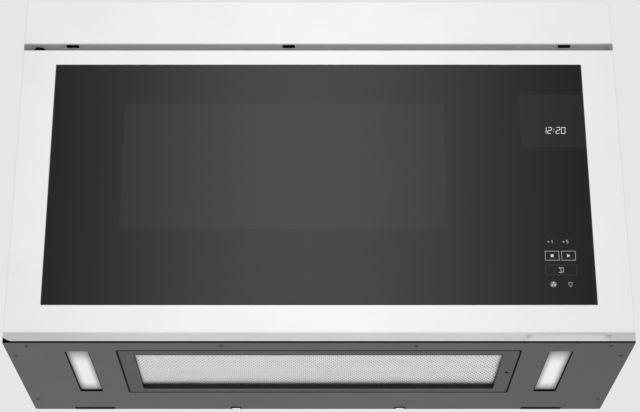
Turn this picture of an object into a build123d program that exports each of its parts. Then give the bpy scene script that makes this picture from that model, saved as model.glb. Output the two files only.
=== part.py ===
"""Over the range microwave oven with a full-width flush door, built as an assembly of separate pieces.

The frame: X runs to the right as seen from the front, Y runs back into the wall and Z runs up.
The origin is on the wall plane at the middle of the bottom edge, so the front is towards -Y.
All sizes are in millimetres.
"""

import math
import os

from build123d import *

# ---------------------------------------------------------------- cabinet
body_width = 759.0  # over the side walls
body_depth = 276.0  # wall plane to the front plate
sheet = 1.0  # wrap and cavity steel
base_sheet = 1.2  # bottom panel steel
plate_sheet = 1.2  # front plate and back panel steel
base_flange = 14.0  # upstand round the bottom panel
fit_gap = 0.3  # clearance between pieces that don't touch
through = 1.0  # how far a cut runs past the face it opens
wrap_bend = 2.0  # outside radius of the wrap's upper edges

# ---------------------------------------------------------------- door and top trim
door_height = 378.5
door_thickness = 29.0
door_gap = 7.0  # behind the door, in front of the front plate
door_face_inset = 6.5  # the door's face is narrower than the cabinet by this on each side
door_rear_inset = 1.5
door_skin = 2.5  # wall of the door frame
door_front_plate = 6.2  # thickness that carries the glass
edge_radius = 2.5  # rounded front edges
corner_arc = 20.0  # the door's rear corner turns about the hinge axis
corner_arc_turn = 165.0  # a point on that arc, from the X axis
trim_gap = 7.6  # air gap above the door
trim_height = 62.6
trim_wall = 2.0
trim_slot_width = 15.2
trim_slot_depth = 6.3
trim_slot_setback = 5.3  # from the trim's face to the centre of its slots
trim_slot_inset = 61.0
trim_slot_middle = -37.6

body_height = door_height + trim_gap + trim_height
half_width = body_width / 2
door_front_width = body_width - 2 * door_face_inset
door_rear_width = body_width - 2 * door_rear_inset
front_y = -(body_depth + door_gap + door_thickness)  # face of the door
door_rear_y = -(body_depth + door_gap)
side_draft = (door_rear_width - door_front_width) / 2 / door_thickness
inner_half_width = half_width - sheet
roof_z = body_height - sheet  # underside of the roof
plate_rear_y = -(body_depth - plate_sheet)  # rear face of the front plate

# ---------------------------------------------------------------- hinges
hinge_from_edge = 18.0
hinge_from_face = 14.0
hinge_x = -(door_front_width / 2 - hinge_from_edge)
hinge_y = front_y + hinge_from_face
hinge_pin_radius = 4.0
bushing_radius = 7.0
bushing_stand = 7.0  # how far the upper bushing stands out of the door
bushing_depth = 16.0
pin_clearance = 0.05
leaf_thickness = 3.0
leaf_half_width = 6.5
leaf_clearance = 0.6  # round the leaf in the door's slot
leaf_swing_room = 4.5  # extra room for the leaf when the door stands open
lower_leaf_z = 10.0
lower_pin_length = 20.0
hinge_foot = 2.5  # thickness of the hinge plates behind the front plate
hinge_foot_height = 46.0
hinge_foot_width = 34.0
boss_reach = 9.0  # of the door's lower boss round the pin
bushing_boss_reach = 11.0

# ---------------------------------------------------------------- oven cavity
cavity_left = 79.5  # cabinet side to cavity, hinge side
cavity_right = 165.5  # cabinet side to cavity, electrical bay
cavity_floor_z = 95.0
cavity_headroom = 42.5  # cavity roof to the door's upper edge
cavity_rear_gap = 20.8
cavity_corner = 8.0
floor_glass_thickness = 4.0
floor_glass_margin = 2.5
floor_glass_corner = 4.0

cavity_width = body_width - cavity_left - cavity_right
cavity_x = (cavity_left - cavity_right) / 2
cavity_right_x = cavity_x + cavity_width / 2
cavity_height = door_height - cavity_floor_z - cavity_headroom
cavity_mid_z = cavity_floor_z + cavity_height / 2
cavity_roof_z = cavity_floor_z + cavity_height + sheet
cavity_rear_y = -cavity_rear_gap
cavity_depth = cavity_rear_y - plate_rear_y
well_y = (plate_rear_y + cavity_rear_y) / 2

# ---------------------------------------------------------------- glass, window and controls
glass_side = 42.4  # door face beside the glass
glass_bottom = 35.5  # door face below the glass
glass_top = 21.6  # door face above the glass
glass_thickness = 4.0
glass_ledge = 8.0
glass_fit = 0.4
glass_bevel = 0.8
glass_seat_gap = 0.1
window_side = 58.0  # cavity side to window side
window_rim = 35.0  # cavity top to window top
window_rise = 2.0  # window above the cavity's middle
panel_from_edge = 44.6  # glass edge to the middle of the controls
display_width = 66.0
display_height = 70.0
display_depth = 10.0
display_drop = 78.4  # glass top to the display's middle
touch_width = 62.0
touch_height = 84.0
touch_rise = 52.5  # glass bottom to the touch keys' middle
sensor_sheet = 0.8
board_sheet = 1.6
chip_size = 18.0
chip_pitch = 27.0
chip_count = 3
chip_height = 3.0
display_board_gap = 6.0  # above the touch sensor

glass_width = door_front_width - 2 * glass_side
glass_height = door_height - glass_bottom - glass_top
window_x = cavity_x
window_width = cavity_width - 2 * window_side
window_height = cavity_height - 2 * window_rim
window_z = cavity_mid_z + window_rise
display_x = glass_width / 2 - panel_from_edge
display_z = glass_bottom + glass_height - display_drop
touch_z = glass_bottom + touch_rise

# ---------------------------------------------------------------- finger pull under the door
pull_from_edge = 76.5  # door face edge to the pull's middle
pull_width = 99.0
pull_setback = 6.0  # behind the door's face
pull_rise = 11.0
pull_ceiling = 7.0
pull_wall = 1.5
pull_lip = 2.5  # height of the pull's rear edge
pull_room = 4.0  # round the pull in the rear sheet
pull_x = door_front_width / 2 - pull_from_edge
pull_front_y = front_y + pull_setback

# ---------------------------------------------------------------- choke panel on the door's inside
choke_lap = 28.0  # past the cavity's sides
choke_lap_z = 25.0  # past the cavity's top and bottom
choke_channel = 16.0
choke_depth = 19.0
choke_stand = 3.0  # how far the panel stands behind the door frame
choke_cover_sheet = 2.0
choke_flange = 5.0
choke_corner = 6.0
window_corner = 4.0
inner_pane = 2.5
door_rear_sheet = 1.5
back_hinge_gap = 13.0  # from the hinge axis to the rear sheet's edge
screen_columns = 24
screen_rows = 11
screen_bar = 7.4  # metal left between the screen's holes
screen_sheet = 1.0
choke_width = cavity_width + 2 * choke_lap
choke_height = cavity_height + 2 * choke_lap_z

# ---------------------------------------------------------------- latch
latch_from_cavity = 50.0
hook_below = 75.5  # cavity middle to the lower hook
hook_above = 79.5
hook_thickness = 4.0
hook_height = 8.0
hook_tooth = 3.0
tooth_length = 5.0
hook_reach = 22.0  # into the cabinet, past the front plate's face
latch_travel = 4.0
latch_bar_width = 12.0
latch_bar_sheet = 3.0
latch_bar_end = 16.0  # bar past the hooks
latch_slot_gap = 2.0
latch_setback = 8.0  # bar in front of the door's rear sheet
guide_clearance = 0.3
guide_wall = 1.5
guide_height_z = 20.0
guide_places = (40.0, 100.0)  # above the lower hook
latch_x = cavity_right_x + latch_from_cavity
hook_z_low = cavity_mid_z - hook_below
hook_z_high = cavity_mid_z + hook_above

# ---------------------------------------------------------------- grease filter in the bottom
filter_side = 135.0  # cabinet side to filter
filter_front = 30.3  # front plate to filter
filter_length = 168.0
filter_depth = 9.0
filter_gap = 1.2
filter_corner = 3.0
filter_rim_side = 18.0
filter_rim_front = 15.45
filter_rim_rear = 14.05
filter_lip = 5.5  # mesh above the frame's lower face
filter_mesh_sheet = 1.5
mesh_fit = 0.2
mesh_lap = 5.5  # mesh edge in the frame's groove
mesh_bar = 2.2
mesh_columns = 26
mesh_rows = 11
rail_setback = 1.0  # outside the filter's opening
rail_overlap = 8.0
rail_end = 20.0  # filter end to rail end
filter_width = body_width - 2 * filter_side
filter_y = -(body_depth - filter_front - filter_length / 2)
filter_opening_width = filter_width - 2 * filter_rim_side
filter_opening_length = filter_length - filter_rim_front - filter_rim_rear
filter_opening_y = filter_y + (filter_rim_front - filter_rim_rear) / 2

# ---------------------------------------------------------------- cooktop lamps in the bottom
lamp_from_edge = 84.9
lamp_front = 31.8  # front plate to lamp opening
lamp_width = 29.6
lamp_length = 164.0
lamp_corner = 3.0
lens_thickness = 2.0
lens_margin = 3.0
reflector_height = 16.0
reflector_wall = 1.2
led_board_height = 4.0
led_board_width = 12.0
led_size = 3.6
led_count = 6
lamp_x = half_width - lamp_from_edge
lamp_y = -(body_depth - lamp_front - lamp_length / 2)

# ---------------------------------------------------------------- rear duct, roof outlet and fixings
outlet_width = 254.0
outlet_depth = 82.6
outlet_setback = 18.0  # from the wall plane
rear_outlet_width = 240.0
rear_outlet_height = 70.0
rear_outlet_drop = 56.7  # roof to the rear outlet's middle
rear_cover_margin = 8.0
rear_cover_screw_rise = 25.0
hook_slot_x = 109.8
hook_slot_width = 13.5
hook_slot_height = 22.0
notch_from_edge = 80.5
notch_width = 53.5
notch_depth = 6.0
top_bolt_from_edge = 139.5
top_bolt_from_front = 48.0
top_bolt_radius = 3.4
weld_nut_radius = 8.0
weld_nut_height = 6.0
cord_hole_from_edge = 41.5
cord_hole_y = -52.0
cord_hole_radius = 11.0
cord_bore_radius = 6.5
bushing_lip = 2.5
rear_outlet_z = body_height - rear_outlet_drop
notch_x = half_width - notch_from_edge
top_bolt_x = half_width - top_bolt_from_edge
top_bolt_y = -(body_depth - top_bolt_from_front)
cord_hole_x = half_width - cord_hole_from_edge
outlet_y = -(outlet_setback + outlet_depth / 2)

# ---------------------------------------------------------------- fasteners
screw_radius = 2.0
screw_head_radius = 3.6
screw_head_height = 1.4
screw_length = 7.0
screw_hole_gap = 0.2
front_screw_inset = 12.0  # front plate to the front row
front_screw_x = 117.5
corner_screw_inset = 27.2
side_screw_inset = 9.3
side_screw_setback = 50.1  # front plate to the front screws of the sides
rear_screw_y = -44.6

os.makedirs("parts", exist_ok=True)


def slab(x_range, y_range, z_range, mode=Mode.ADD):
    """A box between two planes on each axis, in the part being built."""
    middle = [(a + b) / 2 for a, b in (x_range, y_range, z_range)]
    size = [abs(b - a) for a, b in (x_range, y_range, z_range)]
    with Locations(tuple(middle)):
        Box(*size, mode=mode)


def rod(start, radius, length, direction=(0, 0, 1), mode=Mode.ADD):
    """A round bar of that length from its start point along a direction, in the part being built."""
    with BuildSketch(Plane(origin=start, z_dir=direction)) as disc:
        Circle(radius)
    extrude(disc.sketch, amount=length, mode=mode)


def save(builder, label):
    """Names the finished piece and writes it."""
    builder.part.label = label
    export_step(builder.part, f"parts/{label}.step")


def plan_half_width(y):
    """Half the width of the door and trim at a depth: their side walls open towards the wall."""
    return door_front_width / 2 + side_draft * (y - front_y)


# ==================================================== bottom panel
base_y = (-body_depth, -plate_sheet)
filter_hole_width = filter_width + 2 * filter_gap
filter_hole_length = filter_length + 2 * filter_gap
front_screw_y = -(body_depth - front_screw_inset)
base_screw_places = (
    (half_width - corner_screw_inset, front_screw_y),
    (front_screw_x, front_screw_y),
    (half_width - side_screw_inset, -(body_depth - side_screw_setback)),
    (half_width - side_screw_inset, rear_screw_y),
)
base_screw_points = [(side * x, y) for side in (-1, 1) for x, y in base_screw_places]

with BuildPart() as base_plate:
    with BuildSketch(Plane.XY):
        with Locations((0, sum(base_y) / 2)):
            Rectangle(body_width, base_y[1] - base_y[0])
        with Locations((0, filter_y)):
            Rectangle(filter_hole_width, filter_hole_length, mode=Mode.SUBTRACT)
        with Locations((-lamp_x, lamp_y), (lamp_x, lamp_y)):
            RectangleRounded(lamp_width, lamp_length, lamp_corner, mode=Mode.SUBTRACT)
        with Locations(*base_screw_points):
            Circle(screw_radius + screw_hole_gap, mode=Mode.SUBTRACT)
    extrude(amount=base_sheet)
    with BuildSketch(Plane.XY.offset(base_sheet)):
        with Locations((0, (plate_rear_y - plate_sheet) / 2)):
            Rectangle(2 * inner_half_width, -plate_rear_y - plate_sheet)
            Rectangle(
                2 * (inner_half_width - sheet), -plate_rear_y - plate_sheet - 2 * sheet, mode=Mode.SUBTRACT
            )
    extrude(amount=base_flange)
    for side in (-1, 1):
        notch = (side * notch_x - notch_width / 2, side * notch_x + notch_width / 2)
        slab(notch, (-notch_depth, 0), (0, base_sheet + base_flange), Mode.SUBTRACT)
        hook = (side * hook_slot_x - hook_slot_width / 2, side * hook_slot_x + hook_slot_width / 2)
        slab(hook, (-notch_depth, 0), (0, base_sheet + base_flange), Mode.SUBTRACT)
        # a rail bent over the edge of the grease filter
        rail_low = side * (filter_hole_width / 2 + rail_setback)
        rail_y = (filter_y - filter_length / 2 + rail_end, filter_y + filter_length / 2 - rail_end)
        rail_z = filter_depth + fit_gap
        rail_x = (side * (filter_width / 2 - rail_overlap), rail_low + side * sheet)
        slab(rail_x, rail_y, (rail_z, rail_z + sheet))
        slab((rail_low, rail_low + side * sheet), rail_y, (base_sheet, rail_z + sheet))
    hinge_notch = hinge_foot_width / 2 + fit_gap
    slab(
        (hinge_x - hinge_notch, hinge_x + hinge_notch),
        (plate_rear_y - fit_gap, plate_rear_y + hinge_foot + fit_gap),
        (base_sheet, base_sheet + base_flange + fit_gap),
        Mode.SUBTRACT,
    )
save(base_plate, "base_plate")

# ==================================================== outer wrap: two sides and the roof
with BuildPart() as outer_wrap:
    with BuildSketch(Plane.XZ):
        with Locations((0, (base_sheet + body_height) / 2)):
            outline = Rectangle(body_width, body_height - base_sheet)
        fillet(outline.vertices().group_by(Axis.Y)[-1], radius=wrap_bend)
        with Locations((0, (base_sheet + roof_z) / 2)):
            Rectangle(2 * inner_half_width, roof_z - base_sheet, mode=Mode.SUBTRACT)
    extrude(amount=body_depth)
    for side in (-1, 1):
        nut = (side * top_bolt_x, top_bolt_y, roof_z - weld_nut_height)
        rod(nut, weld_nut_radius, weld_nut_height)
        rod(nut, top_bolt_radius, weld_nut_height + 2 * sheet, mode=Mode.SUBTRACT)
    with BuildSketch(Plane.XY.offset(body_height)):
        with Locations((0, outlet_y)):
            Rectangle(outlet_width, outlet_depth)
        with Locations((cord_hole_x, cord_hole_y)):
            Circle(cord_hole_radius)
    extrude(amount=-2 * sheet, mode=Mode.SUBTRACT)
save(outer_wrap, "outer_wrap")

# ==================================================== back panel and the cover of its duct opening
cover_screw_x = rear_outlet_width / 2 + rear_cover_margin / 2
rear_cover_points = [
    (side_x * cover_screw_x, rear_outlet_z + side_z * rear_cover_screw_rise)
    for side_x in (-1, 1)
    for side_z in (-1, 1)
]

with BuildPart() as back_panel:
    with BuildSketch(Plane.XZ):
        with Locations((0, roof_z / 2)):
            Rectangle(2 * inner_half_width, roof_z)
        with Locations((0, rear_outlet_z)):
            Rectangle(rear_outlet_width, rear_outlet_height, mode=Mode.SUBTRACT)
        with Locations((-hook_slot_x, hook_slot_height / 2), (hook_slot_x, hook_slot_height / 2)):
            Rectangle(hook_slot_width, hook_slot_height, mode=Mode.SUBTRACT)
        with Locations(*rear_cover_points):
            Circle(screw_radius + screw_hole_gap, mode=Mode.SUBTRACT)
    extrude(amount=plate_sheet)
save(back_panel, "back_panel")

with BuildPart() as rear_duct_cover:
    with BuildSketch(Plane.XZ.offset(plate_sheet)):
        with Locations((0, rear_outlet_z)):
            Rectangle(
                rear_outlet_width + 2 * rear_cover_margin, rear_outlet_height + 2 * rear_cover_margin
            )
        with Locations(*rear_cover_points):
            Circle(screw_radius + screw_hole_gap, mode=Mode.SUBTRACT)
    extrude(amount=sheet)
save(rear_duct_cover, "rear_duct_cover")

# ==================================================== front plate of the cabinet
vent_slot_width = 48.0
vent_slot_pitch = 60.0
vent_slot_count = int(2 * inner_half_width / vent_slot_pitch) - 1
vent_slot_height = 4.6
vent_slot_z = door_height + trim_gap / 2
pusher_from_latch = 41.0
pusher_x = latch_x + pusher_from_latch
pusher_z = window_z
pusher_radius = 4.0
pusher_gap = 0.4
trim_slot_rows = 3
hook_slot_reach = hook_height + hook_tooth + latch_travel + 2 * latch_slot_gap
upper_leaf_z = door_height + trim_gap + trim_wall + fit_gap

with BuildPart() as front_plate:
    with BuildSketch(Plane.XZ.offset(body_depth)):
        with Locations((0, (base_sheet + roof_z) / 2)):
            Rectangle(2 * inner_half_width, roof_z - base_sheet)
        with Locations((cavity_x, cavity_mid_z)):
            RectangleRounded(cavity_width, cavity_height, cavity_corner, mode=Mode.SUBTRACT)
        with Locations((0, vent_slot_z)):
            with GridLocations(vent_slot_pitch, 1, vent_slot_count, 1):
                SlotOverall(vent_slot_width, vent_slot_height, mode=Mode.SUBTRACT)
        with Locations((0, body_height - trim_height / 2)):
            with GridLocations(vent_slot_pitch, 3 * vent_slot_height, vent_slot_count - 2, trim_slot_rows):
                SlotOverall(vent_slot_width, vent_slot_height, mode=Mode.SUBTRACT)
        for hook_z in (hook_z_low, hook_z_high):
            middle = hook_z - hook_height / 2 - hook_tooth - latch_slot_gap + hook_slot_reach / 2
            with Locations((latch_x, middle)):
                Rectangle(hook_thickness + 2 * latch_slot_gap, hook_slot_reach, mode=Mode.SUBTRACT)
        with Locations((pusher_x, pusher_z)):
            Circle(pusher_radius + pusher_gap, mode=Mode.SUBTRACT)
        for leaf_z in (lower_leaf_z, upper_leaf_z):
            with Locations((hinge_x, leaf_z + leaf_thickness / 2)):
                Rectangle(2 * (leaf_half_width + fit_gap), leaf_thickness + 2 * fit_gap, mode=Mode.SUBTRACT)
    extrude(amount=-plate_sheet)
save(front_plate, "front_plate")

# ==================================================== oven cavity
well_radius = 104.0
well_depth = 22.0
well_flange = 10.0
cavity_lamp_from_side = 40.0
cavity_lamp_from_front = 137.8  # in front of the blower
cavity_lamp_x = cavity_right_x - cavity_lamp_from_side
cavity_lamp_y = plate_rear_y + cavity_lamp_from_front
lamp_port_radius = 12.0
perforation_radius = 2.5
perforation_pitch = 9.0
perforation_side = 5
perforation_drop = 61.0
perforation_inset = 40.0

with BuildPart() as oven_cavity:
    with BuildSketch(Plane.XZ.offset(-plate_rear_y)):
        with Locations((cavity_x, cavity_mid_z)):
            RectangleRounded(cavity_width + 2 * sheet, cavity_height + 2 * sheet, cavity_corner + sheet)
    extrude(amount=-(cavity_depth + sheet))
    with BuildSketch(Plane.XZ.offset(-plate_rear_y)):
        with Locations((cavity_x, cavity_mid_z)):
            RectangleRounded(cavity_width, cavity_height, cavity_corner)
    extrude(amount=-cavity_depth, mode=Mode.SUBTRACT)
    rod((cavity_x, well_y, cavity_floor_z - 2 * sheet), well_radius, 3 * sheet, mode=Mode.SUBTRACT)
    perforation_z = cavity_roof_z - perforation_drop
    with BuildSketch(Plane.YZ.offset(cavity_right_x)):
        front_vent = (plate_rear_y + perforation_inset, perforation_z)
        rear_vent = (cavity_rear_y - perforation_inset, perforation_z)
        with Locations(front_vent, rear_vent):
            with GridLocations(perforation_pitch, perforation_pitch, perforation_side, perforation_side):
                Circle(perforation_radius)
    extrude(amount=2 * sheet, mode=Mode.SUBTRACT)
    lamp_port = (cavity_lamp_x, cavity_lamp_y, cavity_roof_z - 2 * sheet)
    rod(lamp_port, lamp_port_radius, 3 * sheet, mode=Mode.SUBTRACT)
save(oven_cavity, "oven_cavity")

# ceramic floor that covers the well
with BuildPart() as floor_glass:
    with BuildSketch(Plane.XY.offset(cavity_floor_z)):
        with Locations((cavity_x, well_y)):
            RectangleRounded(
                cavity_width - 2 * (cavity_corner + floor_glass_margin),
                cavity_depth - 2 * floor_glass_margin,
                floor_glass_corner,
            )
    extrude(amount=floor_glass_thickness)
    chamfer(floor_glass.edges().group_by(Axis.Z)[-1], length=glass_bevel)
save(floor_glass, "floor_glass")

# ==================================================== microwave feed under the floor
guide_height = 26.0
guide_width = 88.0
magnetron_from_cavity = 62.0
guide_past_magnetron = 46.0
guide_past_well = 50.0
magnetron_x = cavity_right_x + magnetron_from_cavity
guide_end_x = magnetron_x + guide_past_magnetron
guide_start_x = cavity_x - guide_past_well
guide_hole_radius = 16.0
well_floor_z = cavity_floor_z - sheet - well_depth
guide_top_z = well_floor_z - sheet
magnetron_port_radius = 14.0
stirrer_shaft_radius = 3.0
stirrer_shaft_gap = 0.5

with BuildPart() as stirrer_well:
    with BuildSketch(Plane.XY.offset(cavity_floor_z - sheet)):
        with Locations((cavity_x, well_y)):
            Circle(well_radius + well_flange)
            Circle(well_radius, mode=Mode.SUBTRACT)
    extrude(amount=-sheet)
    with BuildSketch(Plane.XY.offset(cavity_floor_z - sheet)):
        with Locations((cavity_x, well_y)):
            Circle(well_radius + sheet)
            Circle(well_radius, mode=Mode.SUBTRACT)
    extrude(amount=-well_depth)
    with BuildSketch(Plane.XY.offset(well_floor_z)):
        with Locations((cavity_x, well_y)):
            Circle(well_radius + sheet)
            Circle(guide_hole_radius, mode=Mode.SUBTRACT)
    extrude(amount=-sheet)
save(stirrer_well, "stirrer_well")

with BuildPart() as waveguide:
    guide_x = (guide_start_x, guide_end_x)
    guide_y = (well_y - guide_width / 2, well_y + guide_width / 2)
    guide_z = (guide_top_z - guide_height, guide_top_z)
    slab(guide_x, guide_y, guide_z)
    slab(
        (guide_x[0] + sheet, guide_x[1] - sheet),
        (guide_y[0] + sheet, guide_y[1] - sheet),
        (guide_z[0] + sheet, guide_z[1] - sheet),
        Mode.SUBTRACT,
    )
    port_z = guide_top_z - 2 * sheet
    rod((cavity_x, well_y, port_z), guide_hole_radius, 3 * sheet, mode=Mode.SUBTRACT)
    rod((magnetron_x, well_y, port_z), magnetron_port_radius, 3 * sheet, mode=Mode.SUBTRACT)
    rod(
        (cavity_x, well_y, guide_z[0] - sheet),
        stirrer_shaft_radius + stirrer_shaft_gap,
        3 * sheet,
        mode=Mode.SUBTRACT,
    )
save(waveguide, "waveguide")

stirrer_motor_radius = 24.0
stirrer_motor_height = 18.0
motor_ear_reach = 13.0  # of the fixing ears past the motor's can
motor_ear_width = 14.0
blade_sheet = 1.2
blade_length = 88.0
blade_root = 18.0
blade_width = 34.0
blade_count = 4
blade_slot_radius = 54.6
blade_slot_length = 26.0
blade_slot_width = 9.0
stirrer_disc_radius = 26.0
stirrer_rise = 9.0
stirrer_plate_z = well_floor_z + stirrer_rise
motor_bore_depth = 10.0

with BuildPart() as stirrer_motor:
    motor_top = guide_z[0]
    rod((cavity_x, well_y, motor_top - stirrer_motor_height), stirrer_motor_radius, stirrer_motor_height)
    with BuildSketch(Plane.XY.offset(motor_top - blade_sheet)):
        with Locations((cavity_x, well_y)):
            SlotOverall(2 * (stirrer_motor_radius + motor_ear_reach), motor_ear_width)
            with GridLocations(2 * stirrer_motor_radius + motor_ear_width, 1, 2, 1):
                Circle(screw_radius, mode=Mode.SUBTRACT)
    extrude(amount=blade_sheet)
    rod(
        (cavity_x, well_y, motor_top - motor_bore_depth),
        stirrer_shaft_radius + pin_clearance,
        motor_bore_depth,
        mode=Mode.SUBTRACT,
    )
save(stirrer_motor, "stirrer_motor")

with BuildPart() as stirrer:
    shaft_foot = motor_top - motor_bore_depth + fit_gap
    rod((cavity_x, well_y, shaft_foot), stirrer_shaft_radius, stirrer_plate_z - shaft_foot)
    with BuildSketch(Plane.XY.offset(stirrer_plate_z)):
        with Locations((cavity_x, well_y)):
            Circle(stirrer_disc_radius)
            with PolarLocations(0, blade_count):
                with Locations((blade_length / 2 + blade_root / 2, 0)):
                    SlotOverall(blade_length - blade_root, blade_width)
            with PolarLocations(blade_slot_radius, blade_count):
                SlotOverall(blade_slot_length, blade_slot_width, mode=Mode.SUBTRACT)
    extrude(amount=blade_sheet)
save(stirrer, "stirrer")

# ==================================================== magnetron on the waveguide's end
yoke_width = 92.0
yoke_depth = 78.0
yoke_height = 58.0
yoke_sheet = 2.0
anode_radius = 20.0
fin_count = 9
fin_sheet = 0.8
magnet_radius = 27.0
magnet_height = 11.0
filter_box_height = 28.0
filter_box_width = 60.0
antenna_radius = 8.0
antenna_length = 14.0
filter_box_chamfer = 3.0
fin_setback = 4.0
plug_reach = 14.0
plug_half_width = 10.0
plug_rise = (8.0, 22.0)  # above the filter box's foot

with BuildPart() as magnetron_yoke:
    yoke_x = (magnetron_x - yoke_width / 2, magnetron_x + yoke_width / 2)
    yoke_y = (well_y - yoke_depth / 2, well_y + yoke_depth / 2)
    slab(yoke_x, yoke_y, (guide_top_z, guide_top_z + yoke_height))
    slab(
        (yoke_x[0] + yoke_sheet, yoke_x[1] - yoke_sheet),
        (yoke_y[0] - through, yoke_y[1] + through),
        (guide_top_z + yoke_sheet, guide_top_z + yoke_height - yoke_sheet),
        Mode.SUBTRACT,
    )
    anode_foot = (magnetron_x, well_y, guide_top_z - through)
    rod(anode_foot, anode_radius, yoke_height + through, mode=Mode.SUBTRACT)
    box_z = guide_top_z + yoke_height
    with BuildSketch(Plane.XY.offset(box_z)):
        with Locations((magnetron_x, well_y)):
            box_outline = Rectangle(filter_box_width, filter_box_width)
        chamfer(box_outline.vertices(), length=filter_box_chamfer)
    extrude(amount=filter_box_height)
    plug_x = magnetron_x + filter_box_width / 2
    slab(
        (plug_x, plug_x + plug_reach),
        (well_y - plug_half_width, well_y + plug_half_width),
        (box_z + plug_rise[0], box_z + plug_rise[1]),
    )
save(magnetron_yoke, "magnetron_yoke")

with BuildPart() as magnetron_tube:
    rod((magnetron_x, well_y, guide_top_z + fit_gap), anode_radius - fit_gap, yoke_height - fit_gap)
    fin_room = yoke_height - 2 * yoke_sheet - 2 * magnet_height
    with BuildSketch(Plane.XY.offset(guide_top_z + yoke_sheet + fit_gap)):
        with Locations((magnetron_x, well_y)):
            Circle(magnet_radius)
    extrude(amount=magnet_height - fit_gap)
    with BuildSketch(Plane.XY.offset(guide_top_z + yoke_height - yoke_sheet - magnet_height)):
        with Locations((magnetron_x, well_y)):
            Circle(magnet_radius)
    extrude(amount=magnet_height - fit_gap)
    for fin in range(fin_count):
        fin_z = guide_top_z + yoke_sheet + magnet_height + fin_room * (fin + 0.5) / fin_count
        slab(
            (yoke_x[0] + yoke_sheet + fit_gap, yoke_x[1] - yoke_sheet - fit_gap),
            (yoke_y[0] + fin_setback, yoke_y[1] - fin_setback),
            (fin_z - fin_sheet / 2, fin_z + fin_sheet / 2),
        )
    rod((magnetron_x, well_y, guide_top_z + fit_gap), antenna_radius, -antenna_length)
save(magnetron_tube, "magnetron_tube")

# ==================================================== shelf of the electrical bay, transformer, capacitor
shelf_z = 30.0
shelf_left_x = 250.0
shelf_foot_y = (-80.0, -20.0)
bay_right_x = inner_half_width - fit_gap
shelf_front_y = plate_rear_y + fit_gap
shelf_rear_y = -plate_sheet - fit_gap

with BuildPart() as component_shelf:
    slab((shelf_left_x, bay_right_x), (shelf_front_y, shelf_rear_y), (shelf_z - sheet, shelf_z))
    foot_z = base_sheet + base_flange + fit_gap
    slab((shelf_left_x, shelf_left_x + sheet), shelf_foot_y, (base_sheet, shelf_z))
    slab((bay_right_x - sheet, bay_right_x), (shelf_front_y, shelf_rear_y), (foot_z, shelf_z))
save(component_shelf, "component_shelf")

core_size = (90.0, 62.0, 72.0)
core_from_side = 66.5
core_from_front = 41.8
core_x = inner_half_width - core_from_side
core_y = plate_rear_y + core_from_front
coil_overhang = 12.0
coil_corner = 8.0
core_window_height = 34.0
core_window_width = 62.0

with BuildPart() as transformer_core:
    core_z = (shelf_z, shelf_z + core_size[2])
    slab(
        (core_x - core_size[0] / 2, core_x + core_size[0] / 2),
        (core_y - core_size[1] / 2 + coil_overhang, core_y + core_size[1] / 2 - coil_overhang),
        core_z,
    )
    window_mid_z = shelf_z + core_size[2] / 2
    slab(
        (core_x - core_window_width / 2, core_x + core_window_width / 2),
        (core_y - core_size[1], core_y + core_size[1]),
        (window_mid_z - core_window_height / 2, window_mid_z + core_window_height / 2),
        Mode.SUBTRACT,
    )
save(transformer_core, "transformer_core")

with BuildPart() as transformer_coils:
    slab(
        (core_x - core_window_width / 2, core_x + core_window_width / 2),
        (core_y - core_size[1] / 2, core_y + core_size[1] / 2),
        (window_mid_z - core_window_height / 2, window_mid_z + core_window_height / 2),
    )
    fillet(transformer_coils.edges().filter_by(Axis.Z), radius=coil_corner)
save(transformer_coils, "transformer_coils")

capacitor_from_side = 28.5
capacitor_from_core = 73.0
capacitor_x = inner_half_width - capacitor_from_side
capacitor_y = core_y + capacitor_from_core
capacitor_size = (38.0, 54.0, 92.0)
capacitor_tab = (6.4, 0.8, 9.0)
capacitor_tab_gap = 20.0

with BuildPart() as capacitor:
    with BuildSketch(Plane.XY.offset(shelf_z)):
        with Locations((capacitor_x, capacitor_y)):
            SlotOverall(capacitor_size[1], capacitor_size[0], rotation=90)
    extrude(amount=capacitor_size[2])
    for tab_side in (-1, 1):
        tab_y = capacitor_y + tab_side * capacitor_tab_gap / 2
        slab(
            (capacitor_x - capacitor_tab[0] / 2, capacitor_x + capacitor_tab[0] / 2),
            (tab_y - capacitor_tab[1] / 2, tab_y + capacitor_tab[1] / 2),
            (shelf_z + capacitor_size[2], shelf_z + capacitor_size[2] + capacitor_tab[2]),
        )
save(capacitor, "capacitor")

# ==================================================== cooling fan behind the magnetron
fan_above_guide = 47.0
fan_z = guide_top_z + fan_above_guide
fan_radius = 42.0
fan_ring_gap = 2.0
shroud_gap = 4.0
shroud_y = well_y + guide_width / 2 + shroud_gap
shroud_width = 148.0
shroud_height = 140.0
fan_front_gap = 4.0
fan_rear_gap = 3.0
fan_arm = 6.0
shroud_shift = 25.0
fan_depth = 20.0
fan_hub_radius = 13.0
fan_shaft_radius = 2.5
fan_motor_size = 44.0
fan_motor_depth = 26.0
fan_motor_chamfer = 5.0
fan_motor_cap = 4.0
fan_hub_setback = 4.0
fan_shaft_seat = 16.0  # of the shaft in the motor
fan_root_size = (11.0, 1.6)
fan_root_turn = 38.0
fan_root_sink = 2.0
fan_tip_size = (19.0, 1.2)
fan_tip_turn = 52.0
fan_blade_count = 7
fan_y = shroud_y + fan_front_gap
fan_motor_y = fan_y + fan_depth + fan_rear_gap

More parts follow.
